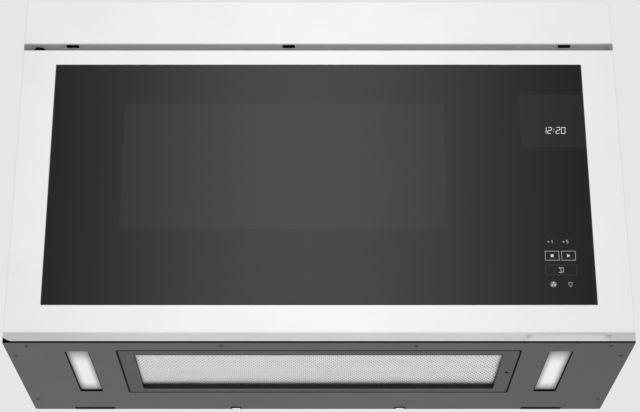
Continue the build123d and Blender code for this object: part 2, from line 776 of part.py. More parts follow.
with BuildPart() as fan_shroud:
    slab(
        (magnetron_x + shroud_shift - shroud_width / 2, magnetron_x + shroud_shift + shroud_width / 2),
        (shroud_y, shroud_y + plate_sheet),
        (shelf_z, shelf_z + shroud_height),
    )
    rod(
        (magnetron_x, shroud_y - through, fan_z),
        fan_radius + fan_ring_gap,
        plate_sheet + 2 * through,
        (0, 1, 0),
        Mode.SUBTRACT,
    )
    with BuildSketch(Plane.XZ.offset(-shroud_y)):
        with Locations((magnetron_x, fan_z)):
            Circle(fan_radius + fan_ring_gap + sheet)
            Circle(fan_radius + fan_ring_gap, mode=Mode.SUBTRACT)
    extrude(amount=-(fan_depth + fan_front_gap))
    arm_reach = fan_radius - fan_ring_gap
    arm_low_z = fan_z - fan_motor_size / 2 - 2 * fan_arm
    for arm_x in (magnetron_x - arm_reach, magnetron_x + arm_reach - fan_arm):
        arm_y = (shroud_y, fan_motor_y + fan_rear_gap)
        slab((arm_x, arm_x + fan_arm), arm_y, (arm_low_z, arm_low_z + fan_arm))
    slab(
        (magnetron_x - arm_reach, magnetron_x + arm_reach),
        (fan_motor_y, fan_motor_y + fan_rear_gap),
        (arm_low_z, fan_z - fan_motor_size / 2),
    )
save(fan_shroud, "fan_shroud")

with BuildPart() as fan_motor:
    slab(
        (magnetron_x - fan_motor_size / 2, magnetron_x + fan_motor_size / 2),
        (fan_motor_y, fan_motor_y + fan_motor_depth),
        (fan_z - fan_motor_size / 2, fan_z + fan_motor_size / 2),
    )
    chamfer(fan_motor.edges().filter_by(Axis.Y), length=fan_motor_chamfer)
    rod(
        (magnetron_x, fan_motor_y, fan_z),
        fan_shaft_radius + pin_clearance,
        fan_motor_depth - fan_motor_cap,
        (0, 1, 0),
        Mode.SUBTRACT,
    )
save(fan_motor, "fan_motor")

with BuildPart() as fan_blade:
    shaft_length = fan_depth + fan_rear_gap + fan_shaft_seat
    rod((magnetron_x, fan_y, fan_z), fan_hub_radius, fan_depth - fan_hub_setback, (0, 1, 0))
    rod((magnetron_x, fan_y, fan_z), fan_shaft_radius, shaft_length, (0, 1, 0))
    for blade in range(fan_blade_count):
        turn = 360 * blade / fan_blade_count
        direction = (math.cos(math.radians(turn)), 0, math.sin(math.radians(turn)))
        root = Plane(
            origin=(
                magnetron_x + direction[0] * (fan_hub_radius - fan_root_sink),
                fan_y + (fan_depth - fan_hub_setback) / 2,
                fan_z + direction[2] * (fan_hub_radius - fan_root_sink),
            ),
            x_dir=(0, 1, 0),
            z_dir=direction,
        )
        with BuildSketch(root):
            Rectangle(*fan_root_size, rotation=fan_root_turn)
        with BuildSketch(root.offset(fan_radius - fan_hub_radius + fan_root_sink)):
            Rectangle(*fan_tip_size, rotation=fan_tip_turn)
        loft()
save(fan_blade, "fan_blade")

# ==================================================== power board on the right wall
board_post = 6.0
board_post_radius = 2.5
board_post_inset = 6.0
power_board_x = bay_right_x - board_post
board_from_front = 46.8
board_length = 116.0
board_below = 37.5  # cavity's middle to the board's lower edge
board_height = 122.0
power_board_y = (plate_rear_y + board_from_front, plate_rear_y + board_from_front + board_length)
power_board_z = (cavity_mid_z - board_below, cavity_mid_z - board_below + board_height)
relay_size = (16.0, 16.0, 28.0)
relay_count = 3
relay_pitch = 25.0
coil_size = (26.0, 38.0, 44.0)
smoothing_radius = 8.0
smoothing_length = 20.0

with BuildPart() as power_board:
    board_face = power_board_x - board_sheet
    slab((board_face, power_board_x), power_board_y, power_board_z)
    for post_y in (power_board_y[0] + board_post_inset, power_board_y[1] - board_post_inset):
        for post_z in (power_board_z[0] + board_post_inset, power_board_z[1] - board_post_inset):
            rod((power_board_x, post_y, post_z), board_post_radius, board_post + fit_gap, (1, 0, 0))
    for relay in range(relay_count):
        relay_y = power_board_y[0] + relay_pitch * (relay + 1)
        slab(
            (board_face - relay_size[0], board_face),
            (relay_y - relay_size[1] / 2, relay_y + relay_size[1] / 2),
            (power_board_z[0] + board_post_inset, power_board_z[0] + board_post_inset + relay_size[2]),
        )
    slab(
        (board_face - coil_size[0], board_face),
        (power_board_y[1] - 2 * board_post_inset - coil_size[1], power_board_y[1] - 2 * board_post_inset),
        (power_board_z[1] - 2 * board_post_inset - coil_size[2], power_board_z[1] - 2 * board_post_inset),
    )
    for smoothing in (1, 2):
        smoothing_z = power_board_z[1] - 3 * smoothing_radius * smoothing
        smoothing_foot = (board_face, power_board_y[0] + relay_pitch, smoothing_z)
        rod(smoothing_foot, smoothing_radius, smoothing_length, (-1, 0, 0))
save(power_board, "power_board")

# ==================================================== blower above the cavity
scroll_headroom = 17.7  # roof to the scrolls' mouth
scroll_neck = 42.0
scroll_foot = 2.0
scroll_rear_gap = 13.0
scroll_width = 84.0
scroll_inner_x = 42.0
scroll_top = roof_z - scroll_headroom
blower_z = scroll_top - scroll_neck
scroll_radius = blower_z - cavity_roof_z - scroll_foot
blower_y = -(scroll_radius + scroll_rear_gap)
wheel_gap = 9.0
wheel_blade_depth = 7.0
motor_gap = 12.0
neck_fit = 1.0  # the neck stands inside the outlet's edges by this
outlet_neck_front = outlet_y - outlet_depth / 2 + neck_fit
outlet_neck_rear = outlet_y + outlet_depth / 2 - neck_fit
wheel_radius = scroll_radius - wheel_gap
wheel_inner_radius = wheel_radius - wheel_blade_depth
inlet_radius = wheel_inner_radius
wheel_width = 68.0
wheel_blade_count = 30
wheel_plate = 2.0
wheel_hub_radius = 10.0
wheel_hub_length = 12.0
wheel_blade_sheet = 1.2
wheel_blade_turn = 35.0
scroll_foot_width = 16.0
scroll_foot_lap = 0.6
blower_motor_foot_width = 48.0
blower_motor_foot_sink = 20.0
shaft_seat = 14.0  # of the shaft in each wheel's hub
shaft_radius = 4.0
blower_motor_radius = scroll_radius - motor_gap
blower_motor_length = 66.0


def scroll_profile(grow):
    """The scroll's outline seen from its end, with its neck up to the outlet."""
    with Locations((blower_y, blower_z)):
        Circle(scroll_radius - grow)
    with Locations(((outlet_neck_front + outlet_neck_rear) / 2, (blower_z + scroll_top) / 2 + grow)):
        Rectangle(outlet_neck_rear - outlet_neck_front - 2 * grow, scroll_top - blower_z + 2 * grow)


def blower_scroll(side):
    """One half of the blower's housing, open at the top and at both inlets."""
    start_x = side * scroll_inner_x
    with BuildPart() as scroll:
        with BuildSketch(Plane.YZ.offset(start_x)):
            scroll_profile(0)
        extrude(amount=side * scroll_width)
        slab(
            (start_x, start_x + side * scroll_width),
            (-body_depth, 0),
            (scroll_top, scroll_top + scroll_radius),
            Mode.SUBTRACT,
        )
        with BuildSketch(Plane.YZ.offset(start_x + side * sheet)):
            scroll_profile(sheet)
        extrude(amount=side * (scroll_width - 2 * sheet), mode=Mode.SUBTRACT)
        rod(
            (start_x - side * through, blower_y, blower_z),
            inlet_radius,
            scroll_width + 2 * through,
            (side, 0, 0),
            Mode.SUBTRACT,
        )
        foot_x = (start_x, start_x + side * scroll_width)
        foot_y = (blower_y - scroll_foot_width / 2, blower_y + scroll_foot_width / 2)
        slab(foot_x, foot_y, (cavity_roof_z, blower_z - scroll_radius + scroll_foot_lap))
    return scroll


def blower_wheel(side):
    """A squirrel-cage wheel: a ring of blades between two rims, on a hub plate."""
    start_x = side * (scroll_inner_x + (scroll_width - wheel_width) / 2)
    with BuildPart() as wheel:
        rod((start_x, blower_y, blower_z), wheel_radius, wheel_plate, (side, 0, 0))
        rod((start_x, blower_y, blower_z), wheel_hub_radius, wheel_hub_length, (side, 0, 0))
        with BuildSketch(Plane.YZ.offset(start_x + side * (wheel_width - wheel_plate))):
            with Locations((blower_y, blower_z)):
                Circle(wheel_radius)
                Circle(wheel_inner_radius, mode=Mode.SUBTRACT)
        extrude(amount=side * wheel_plate)
        with BuildSketch(Plane.YZ.offset(start_x)):
            with Locations((blower_y, blower_z)):
                with PolarLocations((wheel_radius + wheel_inner_radius) / 2, wheel_blade_count):
                    Rectangle(wheel_blade_depth, wheel_blade_sheet, rotation=wheel_blade_turn)
        extrude(amount=side * wheel_width)
        bore_start = (start_x - side * through, blower_y, blower_z)
        rod(bore_start, shaft_radius, wheel_width, (side, 0, 0), Mode.SUBTRACT)
    return wheel


for side_name, side in (("left", -1), ("right", 1)):
    save(blower_scroll(side), f"blower_scroll_{side_name}")
    save(blower_wheel(side), f"blower_wheel_{side_name}")

with BuildPart() as blower_motor:
    rod((-blower_motor_length / 2, blower_y, blower_z), blower_motor_radius, blower_motor_length, (1, 0, 0))
    slab(
        (-blower_motor_length / 2, blower_motor_length / 2),
        (blower_y - blower_motor_foot_width / 2, blower_y + blower_motor_foot_width / 2),
        (cavity_roof_z, blower_z - blower_motor_foot_sink),
    )
    rod(
        (-blower_motor_length, blower_y, blower_z),
        shaft_radius + pin_clearance,
        2 * blower_motor_length,
        (1, 0, 0),
        Mode.SUBTRACT,
    )
save(blower_motor, "blower_motor")

shaft_reach = scroll_inner_x + (scroll_width - wheel_width) / 2 + shaft_seat
with BuildPart() as blower_shaft:
    rod((-shaft_reach, blower_y, blower_z), shaft_radius, 2 * shaft_reach, (1, 0, 0))
save(blower_shaft, "blower_shaft")

# ==================================================== damper in the roof outlet
damper_wall = 1.5
damper_pin_radius = 1.5
damper_pin_setback = 6.0
damper_flange = 6.0
damper_pin_y = outlet_y + outlet_depth / 2 - damper_pin_setback
damper_drop = 7.7
damper_z = roof_z - damper_drop
flap_sheet = 1.2
flap_gap = 1.0

with BuildPart() as damper_frame:
    slab(
        (-outlet_width / 2 + fit_gap, outlet_width / 2 - fit_gap),
        (outlet_y - outlet_depth / 2 + fit_gap, outlet_y + outlet_depth / 2 - fit_gap),
        (scroll_top + fit_gap, body_height),
    )
    slab(
        (-outlet_width / 2 + damper_wall, outlet_width / 2 - damper_wall),
        (outlet_y - outlet_depth / 2 + damper_wall, outlet_y + outlet_depth / 2 - damper_wall),
        (scroll_top - through, body_height + through),
        Mode.SUBTRACT,
    )
    slab(
        (-outlet_width / 2 - damper_flange, outlet_width / 2 + damper_flange),
        (outlet_y - outlet_depth / 2 - damper_flange, outlet_y + outlet_depth / 2 + damper_flange),
        (roof_z - fit_gap - damper_wall, roof_z - fit_gap),
    )
    slab(
        (-outlet_width / 2 + damper_wall, outlet_width / 2 - damper_wall),
        (outlet_y - outlet_depth / 2 + damper_wall, outlet_y + outlet_depth / 2 - damper_wall),
        (scroll_top - through, body_height + through),
        Mode.SUBTRACT,
    )
    rod(
        (-outlet_width, damper_pin_y, damper_z),
        damper_pin_radius + pin_clearance,
        2 * outlet_width,
        (1, 0, 0),
        Mode.SUBTRACT,
    )
save(damper_frame, "damper_frame")

with BuildPart() as damper_flap:
    slab(
        (-outlet_width / 2 + damper_wall + flap_gap, outlet_width / 2 - damper_wall - flap_gap),
        (outlet_y - outlet_depth / 2 + damper_wall + flap_gap, damper_pin_y),
        (damper_z - flap_sheet / 2, damper_z + flap_sheet / 2),
    )
    rod(
        (-outlet_width / 2 + fit_gap, damper_pin_y, damper_z),
        damper_pin_radius,
        outlet_width - 2 * fit_gap,
        (1, 0, 0),
    )
save(damper_flap, "damper_flap")

# ==================================================== charcoal filter, cord bushing, cavity lamp
charcoal_size = (300.0, 120.0, 16.0)
charcoal_from_front = 74.8
charcoal_cell = (30.0, 28.0)
charcoal_rib = 6.0
charcoal_cell_depth = 3.0
charcoal_columns = 8
charcoal_rows = 3
charcoal_x = cavity_x
charcoal_y = plate_rear_y + charcoal_from_front

with BuildPart() as charcoal_filter:
    with Locations((charcoal_x, charcoal_y, cavity_roof_z + charcoal_size[2] / 2)):
        Box(*charcoal_size)
    with BuildSketch(Plane.XY.offset(cavity_roof_z + charcoal_size[2])):
        with Locations((charcoal_x, charcoal_y)):
            with GridLocations(
                charcoal_cell[0] + charcoal_rib,
                charcoal_cell[1] + charcoal_rib,
                charcoal_columns,
                charcoal_rows,
            ):
                Rectangle(*charcoal_cell)
    extrude(amount=-charcoal_cell_depth, mode=Mode.SUBTRACT)
save(charcoal_filter, "charcoal_filter")

bushing_sleeve = 8.0  # below the roof
sleeve_fit = 0.2
barb_height = 3.0
barb_lip = 1.0

with BuildPart() as cord_bushing:
    sleeve_foot = roof_z - bushing_sleeve
    rod((cord_hole_x, cord_hole_y, sleeve_foot), cord_hole_radius - sleeve_fit, bushing_sleeve + sheet)
    rod((cord_hole_x, cord_hole_y, body_height), cord_hole_radius + bushing_lip, sheet)
    barb_foot = roof_z - sleeve_fit - barb_height
    rod((cord_hole_x, cord_hole_y, barb_foot), cord_hole_radius + barb_lip, barb_height)
    bore_foot = (cord_hole_x, cord_hole_y, sleeve_foot - through)
    rod(bore_foot, cord_bore_radius, bushing_sleeve + 2 * sheet + 2 * through, mode=Mode.SUBTRACT)
save(cord_bushing, "cord_bushing")

lamp_cap_height = 26.0
lamp_cap_radius = 20.0
lamp_cap_wall = 8.0
lamp_bulb_radius = 8.0
lamp_bulb_rise = 4.0

with BuildPart() as cavity_lamp:
    lamp_foot = (cavity_lamp_x, cavity_lamp_y, cavity_roof_z)
    rod(lamp_foot, lamp_cap_radius, lamp_cap_height)
    rod(lamp_foot, lamp_port_radius, lamp_cap_height - lamp_cap_wall, mode=Mode.SUBTRACT)
    bulb_foot = (cavity_lamp_x, cavity_lamp_y, cavity_roof_z + lamp_bulb_rise)
    rod(bulb_foot, lamp_bulb_radius, lamp_cap_height - lamp_cap_wall)
save(cavity_lamp, "cavity_lamp")

# ==================================================== hinge brackets
def hinge_bracket(leaf_z, pin_z):
    """A leaf through the front plate with its upright foot behind it and the pin at its end."""
    with BuildPart() as bracket:
        foot_y = (plate_rear_y, plate_rear_y + hinge_foot)
        slab(
            (hinge_x - leaf_half_width, hinge_x + leaf_half_width),
            (hinge_y, plate_rear_y + hinge_foot),
            (leaf_z, leaf_z + leaf_thickness),
        )
        rod((hinge_x, hinge_y, leaf_z), leaf_half_width, leaf_thickness)
        foot_low = max(base_sheet + fit_gap, leaf_z - hinge_foot_height / 2)
        slab(
            (hinge_x - hinge_foot_width / 2, hinge_x + hinge_foot_width / 2),
            foot_y,
            (foot_low, foot_low + hinge_foot_height),
        )
        rod((hinge_x, hinge_y, pin_z[0]), hinge_pin_radius, pin_z[1] - pin_z[0])
    return bracket


lower_pin_top = lower_leaf_z + lower_pin_length
pin_foot_gap = 4.0  # under the upper pin in its bushing
upper_pin_foot = door_height - bushing_depth + pin_foot_gap
lower_hinge = hinge_bracket(lower_leaf_z, (lower_leaf_z, lower_pin_top))
save(lower_hinge, "lower_hinge")
upper_hinge = hinge_bracket(upper_leaf_z, (upper_pin_foot, upper_leaf_z))
save(upper_hinge, "upper_hinge")

# ==================================================== interlock behind the hook slots
interlock_inwards = 18.0  # latch to the housing's wall on the cavity's side
interlock_outwards = 34.0
interlock_below = 14.0  # lower hook to the housing's foot
interlock_above = 23.0
interlock_x = (latch_x - interlock_inwards, latch_x + interlock_outwards)
interlock_depth = 40.0
interlock_z = (hook_z_low - interlock_below, hook_z_high + interlock_above)
interlock_wall = 2.5
switch_half_width = 5.0
switch_length = 16.0
plunger_radius = 1.5
plunger_reach = 2.4
plunger_travel = 1.2
hook_tip_y = -body_depth + hook_reach
switch_front_y = hook_tip_y + fit_gap + plunger_reach
tooth_low_z = hook_z_high - hook_height / 2 - hook_tooth
monitor_top_z = tooth_low_z - fit_gap - plunger_reach
monitor_y = hook_tip_y - tooth_length / 2
monitor_body_depth = 10.0
lever_setback = 12.8  # behind the front plate
lever_below_hook = 50.0
lever_from_latch = 15.0
lever_pivot_y = plate_rear_y + lever_setback
lever_pivot_z = hook_z_high - lever_below_hook
lever_pin_radius = 2.5
lever_sheet = 3.0
lever_x = latch_x + lever_from_latch
lever_boss_radius = 7.0
lever_arm = (26.0, 8.0)  # length and height of the arm that lifts the latch
lever_arm_shift = 12.0
lever_leg = (8.0, 34.0)
lever_pin_stand = 2.0
lever_shelf_drop = 60.0
interlock_rear_y = plate_rear_y + interlock_depth
pusher_length = 22.0
pusher_guide = 9.0
pusher_stand = 1.0
pusher_room = 3.0  # behind the pusher in its guide
pusher_guide_end = 6.0
plunger_room = 4.0
plunger_seat = 3.0

with BuildPart() as interlock_housing:
    slab(interlock_x, (plate_rear_y, plate_rear_y + interlock_wall), interlock_z)
    slab(
        (interlock_x[0], interlock_x[0] + interlock_wall), (plate_rear_y, interlock_rear_y), interlock_z
    )
    for wall_z in (interlock_z[0], lever_pivot_z - lever_shelf_drop, interlock_z[1] - interlock_wall):
        slab(interlock_x, (plate_rear_y, interlock_rear_y), (wall_z, wall_z + interlock_wall))
    for hook_z in (hook_z_low, hook_z_high):
        slot_low = hook_z - hook_height / 2 - hook_tooth - latch_slot_gap
        slab(
            (latch_x - hook_thickness / 2 - latch_slot_gap, latch_x + hook_thickness / 2 + latch_slot_gap),
            (plate_rear_y - through, plate_rear_y + interlock_wall + through),
            (slot_low, slot_low + hook_slot_reach),
            Mode.SUBTRACT,
        )
    rod(
        (interlock_x[0], lever_pivot_y, lever_pivot_z),
        lever_pin_radius,
        lever_x + lever_sheet + lever_pin_stand - interlock_x[0],
        (1, 0, 0),
    )
    # the guide of the door pusher stands beside the switches
    slab(
        (interlock_x[1], pusher_x + pusher_guide),
        (plate_rear_y, plate_rear_y + pusher_length + pusher_guide_end),
        (pusher_z - pusher_guide, pusher_z + pusher_guide),
    )
    rod(
        (pusher_x, plate_rear_y - through, pusher_z),
        pusher_radius + pin_clearance,
        pusher_length + pusher_room,
        (0, 1, 0),
        Mode.SUBTRACT,
    )
save(interlock_housing, "interlock_housing")

# two switches face the hook tips, the monitor switch points up under the upper hook's tooth
switch_fronts = {
    "primary": ((latch_x, switch_front_y, hook_z_high), (0, 1, 0)),
    "secondary": ((latch_x, switch_front_y, hook_z_low), (0, 1, 0)),
    "monitor": ((latch_x, monitor_y, monitor_top_z), (0, 0, -1)),
}

with BuildPart() as interlock_switches:
    switch_x = (interlock_x[0] + interlock_wall, latch_x + switch_half_width)
    for hook_z in (hook_z_low, hook_z_high):
        switch_z = (hook_z - switch_length / 2, hook_z + switch_length / 2)
        slab(switch_x, (switch_front_y, switch_front_y + switch_length), switch_z)
    monitor_depth = (monitor_y - monitor_body_depth / 2, monitor_y + monitor_body_depth / 2 - fit_gap)
    slab(switch_x, monitor_depth, (monitor_top_z - switch_length, monitor_top_z))
    for front, inwards in switch_fronts.values():
        rod(front, plunger_radius + pin_clearance, plunger_travel + plunger_room, inwards, Mode.SUBTRACT)
save(interlock_switches, "interlock_switches")

for switch_name, (front, inwards) in switch_fronts.items():
    tip = tuple(f - plunger_reach * d for f, d in zip(front, inwards))
    with BuildPart() as plunger:
        rod(tip, plunger_radius, plunger_reach + plunger_seat, inwards)
    save(plunger, f"plunger_{switch_name}")

with BuildPart() as release_lever:
    with BuildSketch(Plane.YZ.offset(lever_x)):
        with Locations((lever_pivot_y, lever_pivot_z)):
            Circle(lever_boss_radius)
        with Locations((lever_pivot_y + lever_arm_shift, lever_pivot_z)):
            Rectangle(*lever_arm)
        with Locations((lever_pivot_y, lever_pivot_z - lever_leg[1] / 2)):
            Rectangle(*lever_leg)
        with Locations((lever_pivot_y, lever_pivot_z)):
            Circle(lever_pin_radius + pin_clearance, mode=Mode.SUBTRACT)
    extrude(amount=lever_sheet)
save(release_lever, "release_lever")

solenoid_size = (24.0, 20.0, 38.0)
solenoid_core_radius = 3.5
solenoid_core_stand = 8.0

with BuildPart() as release_solenoid:
    solenoid_x = interlock_x[0] + interlock_wall
    solenoid_z = lever_pivot_z - lever_shelf_drop + interlock_wall
    slab(
        (solenoid_x, solenoid_x + solenoid_size[0]),
        (interlock_rear_y - solenoid_size[1], interlock_rear_y),
        (solenoid_z, solenoid_z + solenoid_size[2]),
    )
    solenoid_top = (
        solenoid_x + solenoid_size[0] / 2,
        interlock_rear_y - solenoid_size[1] / 2,
        solenoid_z + solenoid_size[2],
    )
    rod(solenoid_top, solenoid_core_radius, solenoid_core_stand)
save(release_solenoid, "release_solenoid")

with BuildPart() as door_pusher:
    rod((pusher_x, -body_depth - pusher_stand, pusher_z), pusher_radius, pusher_length, (0, 1, 0))
save(door_pusher, "door_pusher")

# ==================================================== top trim above the door
trim_low_z = door_height + trim_gap
trim_slot_y = front_y + trim_slot_setback
trim_slot_x = door_front_width / 2 - trim_slot_inset
trim_rear_y = -body_depth


def plan_outline(rear_y, inset):
    """The trim's plan from its face back to a depth, drawn a wall's thickness inside."""
    front_half = plan_half_width(front_y) - inset
    rear_half = plan_half_width(rear_y) - inset
    Polygon(
        (-front_half, front_y + inset),
        (front_half, front_y + inset),
        (rear_half, rear_y),
        (-rear_half, rear_y),
        align=None,
    )


with BuildPart() as top_trim:
    with BuildSketch(Plane.XY.offset(trim_low_z)):
        plan_outline(trim_rear_y, 0)
    extrude(amount=trim_height)
    fillet(top_trim.edges().group_by(Axis.Y)[0], radius=edge_radius)
    with BuildSketch(Plane.XY.offset(trim_low_z + trim_wall)):
        plan_outline(trim_rear_y, trim_wall)
    extrude(amount=trim_height - 2 * trim_wall, mode=Mode.SUBTRACT)
    for slot_x in (-trim_slot_x, trim_slot_middle, trim_slot_x):
        slab(
            (slot_x - trim_slot_width / 2, slot_x + trim_slot_width / 2),
            (trim_slot_y - trim_slot_depth / 2, trim_slot_y + trim_slot_depth / 2),
            (trim_low_z - through, trim_low_z + trim_wall + through),
            Mode.SUBTRACT,
        )
    rod(
        (hinge_x, hinge_y, trim_low_z - through),
        hinge_pin_radius + fit_gap,
        trim_wall + 2 * through,
        mode=Mode.SUBTRACT,
    )
save(top_trim, "top_trim")

# ==================================================== door frame


def door_plan(inset, rear_y):
    """The door's plan: an arc round the hinge axis replaces its rear corner on the hinge side."""
    front_half = plan_half_width(front_y) - inset
    left = -(plan_half_width(hinge_y) - inset)
    rear_right = plan_half_width(rear_y) - inset
    radius = corner_arc - inset
    rear_offset = rear_y - hinge_y
    arc_end = (hinge_x - math.sqrt(radius**2 - rear_offset**2), rear_y)
    side_x = hinge_x - radius
    middle = math.radians(corner_arc_turn)
    with BuildLine() as outline:
        Polyline(
            arc_end,
            (rear_right, rear_y),
            (front_half, front_y + inset),
            (-front_half, front_y + inset),
            (side_x, hinge_y),
        )
        ThreePointArc(
            (side_x, hinge_y),
            (hinge_x + radius * math.cos(middle), hinge_y + radius * math.sin(middle)),
            arc_end,
        )
    return outline.line


glass_z = glass_bottom + glass_height / 2
inner_rear_y = door_rear_y - door_rear_sheet

with BuildPart() as door_frame:
    with BuildSketch(Plane.XY):
        add(door_plan(0, door_rear_y))
        make_face()
    extrude(amount=door_height)
    fillet(door_frame.edges().group_by(Axis.Y)[0], radius=edge_radius)
    with BuildSketch(Plane.XY.offset(door_skin)):
        add(door_plan(door_skin, door_rear_y))
        make_face()
    extrude(amount=door_height - 2 * door_skin, mode=Mode.SUBTRACT)
    # the front carries the glass in a recess with a ledge round it
    slab(
        (-plan_half_width(front_y) + door_skin, plan_half_width(front_y) - door_skin),
        (front_y + door_skin, front_y + door_front_plate),
        (door_skin, door_height - door_skin),
    )
    with BuildSketch(Plane.XZ.offset(-front_y)):
        with Locations((0, glass_z)):
            Rectangle(glass_width + 2 * glass_fit, glass_height + 2 * glass_fit)
    extrude(amount=-glass_thickness, mode=Mode.SUBTRACT)
    with BuildSketch(Plane.XZ.offset(-front_y)):
        with Locations((0, glass_z)):
            Rectangle(glass_width - 2 * glass_ledge, glass_height - 2 * glass_ledge)
    extrude(amount=-door_front_plate - through, mode=Mode.SUBTRACT)
    # finger pull in the lower edge
    with BuildSketch(Plane.YZ.offset(pull_x - pull_width / 2 - pull_wall)):
        Polygon(
            (pull_front_y - pull_wall, 0),
            (door_rear_y, 0),
            (door_rear_y, pull_lip),
            (pull_front_y + pull_ceiling, pull_rise + pull_wall),
            (pull_front_y - pull_wall, pull_rise + pull_wall),
            align=None,
        )
    extrude(amount=pull_width + 2 * pull_wall)
    with BuildSketch(Plane.YZ.offset(pull_x - pull_width / 2)):
        Polygon(
            (pull_front_y, -through),
            (door_rear_y - pull_wall, -through),
            (door_rear_y - pull_wall, 0),
            (pull_front_y + pull_ceiling, pull_rise),
            (pull_front_y, pull_rise),
            align=None,
        )
    extrude(amount=pull_width, mode=Mode.SUBTRACT)
    # bosses for the hinge pins, and the slot that the lower hinge leaf stands in
    slab(
        (hinge_x - boss_reach, hinge_x + boss_reach),
        (hinge_y - boss_reach, hinge_y + boss_reach),
        (lower_leaf_z + leaf_thickness, lower_pin_top + pull_wall + fit_gap),
    )
    slab(
        (hinge_x - bushing_boss_reach, hinge_x + bushing_boss_reach),
        (hinge_y - bushing_boss_reach, hinge_y + bushing_boss_reach),
        (door_height - bushing_depth - pull_wall, door_height - door_skin),
    )
    lower_bore = (hinge_x, hinge_y, lower_leaf_z)
    bore_length = lower_pin_length + fit_gap
    rod(lower_bore, hinge_pin_radius + pin_clearance, bore_length, mode=Mode.SUBTRACT)
    bushing_seat = (hinge_x, hinge_y, door_height - bushing_depth)
    rod(bushing_seat, bushing_radius, bushing_depth + through, mode=Mode.SUBTRACT)
    slab(
        (-half_width, hinge_x + leaf_half_width + leaf_clearance),
        (hinge_y - leaf_half_width - leaf_swing_room, 0),
        (lower_leaf_z - leaf_clearance, lower_leaf_z + leaf_thickness + leaf_clearance),
        Mode.SUBTRACT,
    )
save(door_frame, "door_frame")

with BuildPart() as hinge_bushing:
    rod((hinge_x, hinge_y, door_height - bushing_depth), bushing_radius, bushing_depth + bushing_stand)
    rod(
        (hinge_x, hinge_y, upper_pin_foot - fit_gap),
        hinge_pin_radius + pin_clearance,
        door_height,
        mode=Mode.SUBTRACT,
    )
save(hinge_bushing, "hinge_bushing")

# ==================================================== door glass, touch sensor and display
with BuildPart() as door_glass:
    slab(
        (-glass_width / 2, glass_width / 2),
        (front_y, front_y + glass_thickness - glass_seat_gap),
        (glass_bottom, glass_bottom + glass_height),
    )
    chamfer(door_glass.faces().sort_by(Axis.Y)[0].edges(), length=glass_bevel)
save(door_glass, "door_glass")

behind_glass_y = front_y + glass_thickness - glass_seat_gap
with BuildPart() as touch_sensor:
    slab(
        (display_x - touch_width / 2, display_x + touch_width / 2),
        (behind_glass_y, behind_glass_y + sensor_sheet),
        (touch_z - touch_height / 2, touch_z + touch_height / 2),
    )
save(touch_sensor, "touch_sensor")

with BuildPart() as display_module:
    slab(
        (display_x - display_width / 2, display_x + display_width / 2),
        (behind_glass_y, behind_glass_y + display_depth),
        (display_z - display_height / 2, display_z + display_height / 2),
    )
    board_y = behind_glass_y + display_depth
    slab(
        (display_x - display_width / 2, display_x + display_width / 2),
        (board_y, board_y + board_sheet),
        (touch_z + touch_height / 2 + display_board_gap, display_z + display_height / 2),
    )
    for chip in range(chip_count):
        chip_z = touch_z + touch_height / 2 + chip_size + chip_pitch * chip
        chip_x = (display_x - chip_size / 2, display_x + chip_size / 2)
        slab(chip_x, (board_y - chip_height, board_y), (chip_z - chip_size / 2, chip_z + chip_size / 2))
save(display_module, "display_module")

# ==================================================== rear sheet of the door with the latch guides
latch_front_y = inner_rear_y - latch_setback
latch_bar_z = (hook_z_low - latch_bar_end, hook_z_high + latch_bar_end)

with BuildPart() as door_back:
    slab(
        (hinge_x + back_hinge_gap, plan_half_width(inner_rear_y) - door_skin - fit_gap),
        (inner_rear_y, door_rear_y),
        (door_skin + fit_gap, door_height - door_skin - fit_gap),
    )
    slab(
        (cavity_x - choke_width / 2 - fit_gap, cavity_x + choke_width / 2 + fit_gap),
        (inner_rear_y - through, door_rear_y + through),
        (cavity_mid_z - choke_height / 2 - fit_gap, cavity_mid_z + choke_height / 2 + fit_gap),
        Mode.SUBTRACT,
    )
    slab(
        (pull_x - pull_width / 2 - pull_room, pull_x + pull_width / 2 + pull_room),
        (inner_rear_y - through, door_rear_y + through),
        (0, pull_rise + pull_room),
        Mode.SUBTRACT,
    )
    for hook_z in (hook_z_low, hook_z_high):
        slot_low = hook_z - hook_height / 2 - hook_tooth - latch_slot_gap
        slab(
            (latch_x - hook_thickness / 2 - latch_slot_gap, latch_x + hook_thickness / 2 + latch_slot_gap),
            (inner_rear_y - through, door_rear_y + through),
            (slot_low, slot_low + hook_slot_reach),
            Mode.SUBTRACT,
        )
    bar_half = latch_bar_width / 2 + guide_clearance
    for guide_place in guide_places:
        guide_low = hook_z_low + guide_place
        slab(
            (latch_x - bar_half - guide_wall, latch_x + bar_half + guide_wall),
            (latch_front_y - guide_clearance - guide_wall, inner_rear_y),
            (guide_low, guide_low + guide_height_z),
        )
        slab(
            (latch_x - bar_half, latch_x + bar_half),
            (latch_front_y - guide_clearance, latch_front_y + latch_bar_sheet + guide_clearance),
            (guide_low - through, guide_low + guide_height_z + through),
            Mode.SUBTRACT,
        )
save(door_back, "door_back")

with BuildPart() as latch_bar:
    slab(
        (latch_x - latch_bar_width / 2, latch_x + latch_bar_width / 2),
        (latch_front_y, latch_front_y + latch_bar_sheet),
        latch_bar_z,
    )
    for hook_z in (hook_z_low, hook_z_high):
        hook_x = (latch_x - hook_thickness / 2, latch_x + hook_thickness / 2)
        hook_span = (hook_z - hook_height / 2, hook_z + hook_height / 2)
        slab(hook_x, (latch_front_y + latch_bar_sheet, hook_tip_y), hook_span)
        slab(
            hook_x,
            (hook_tip_y - tooth_length, hook_tip_y),
            (hook_z - hook_height / 2 - hook_tooth, hook_z - hook_height / 2),
        )
save(latch_bar, "latch_bar")

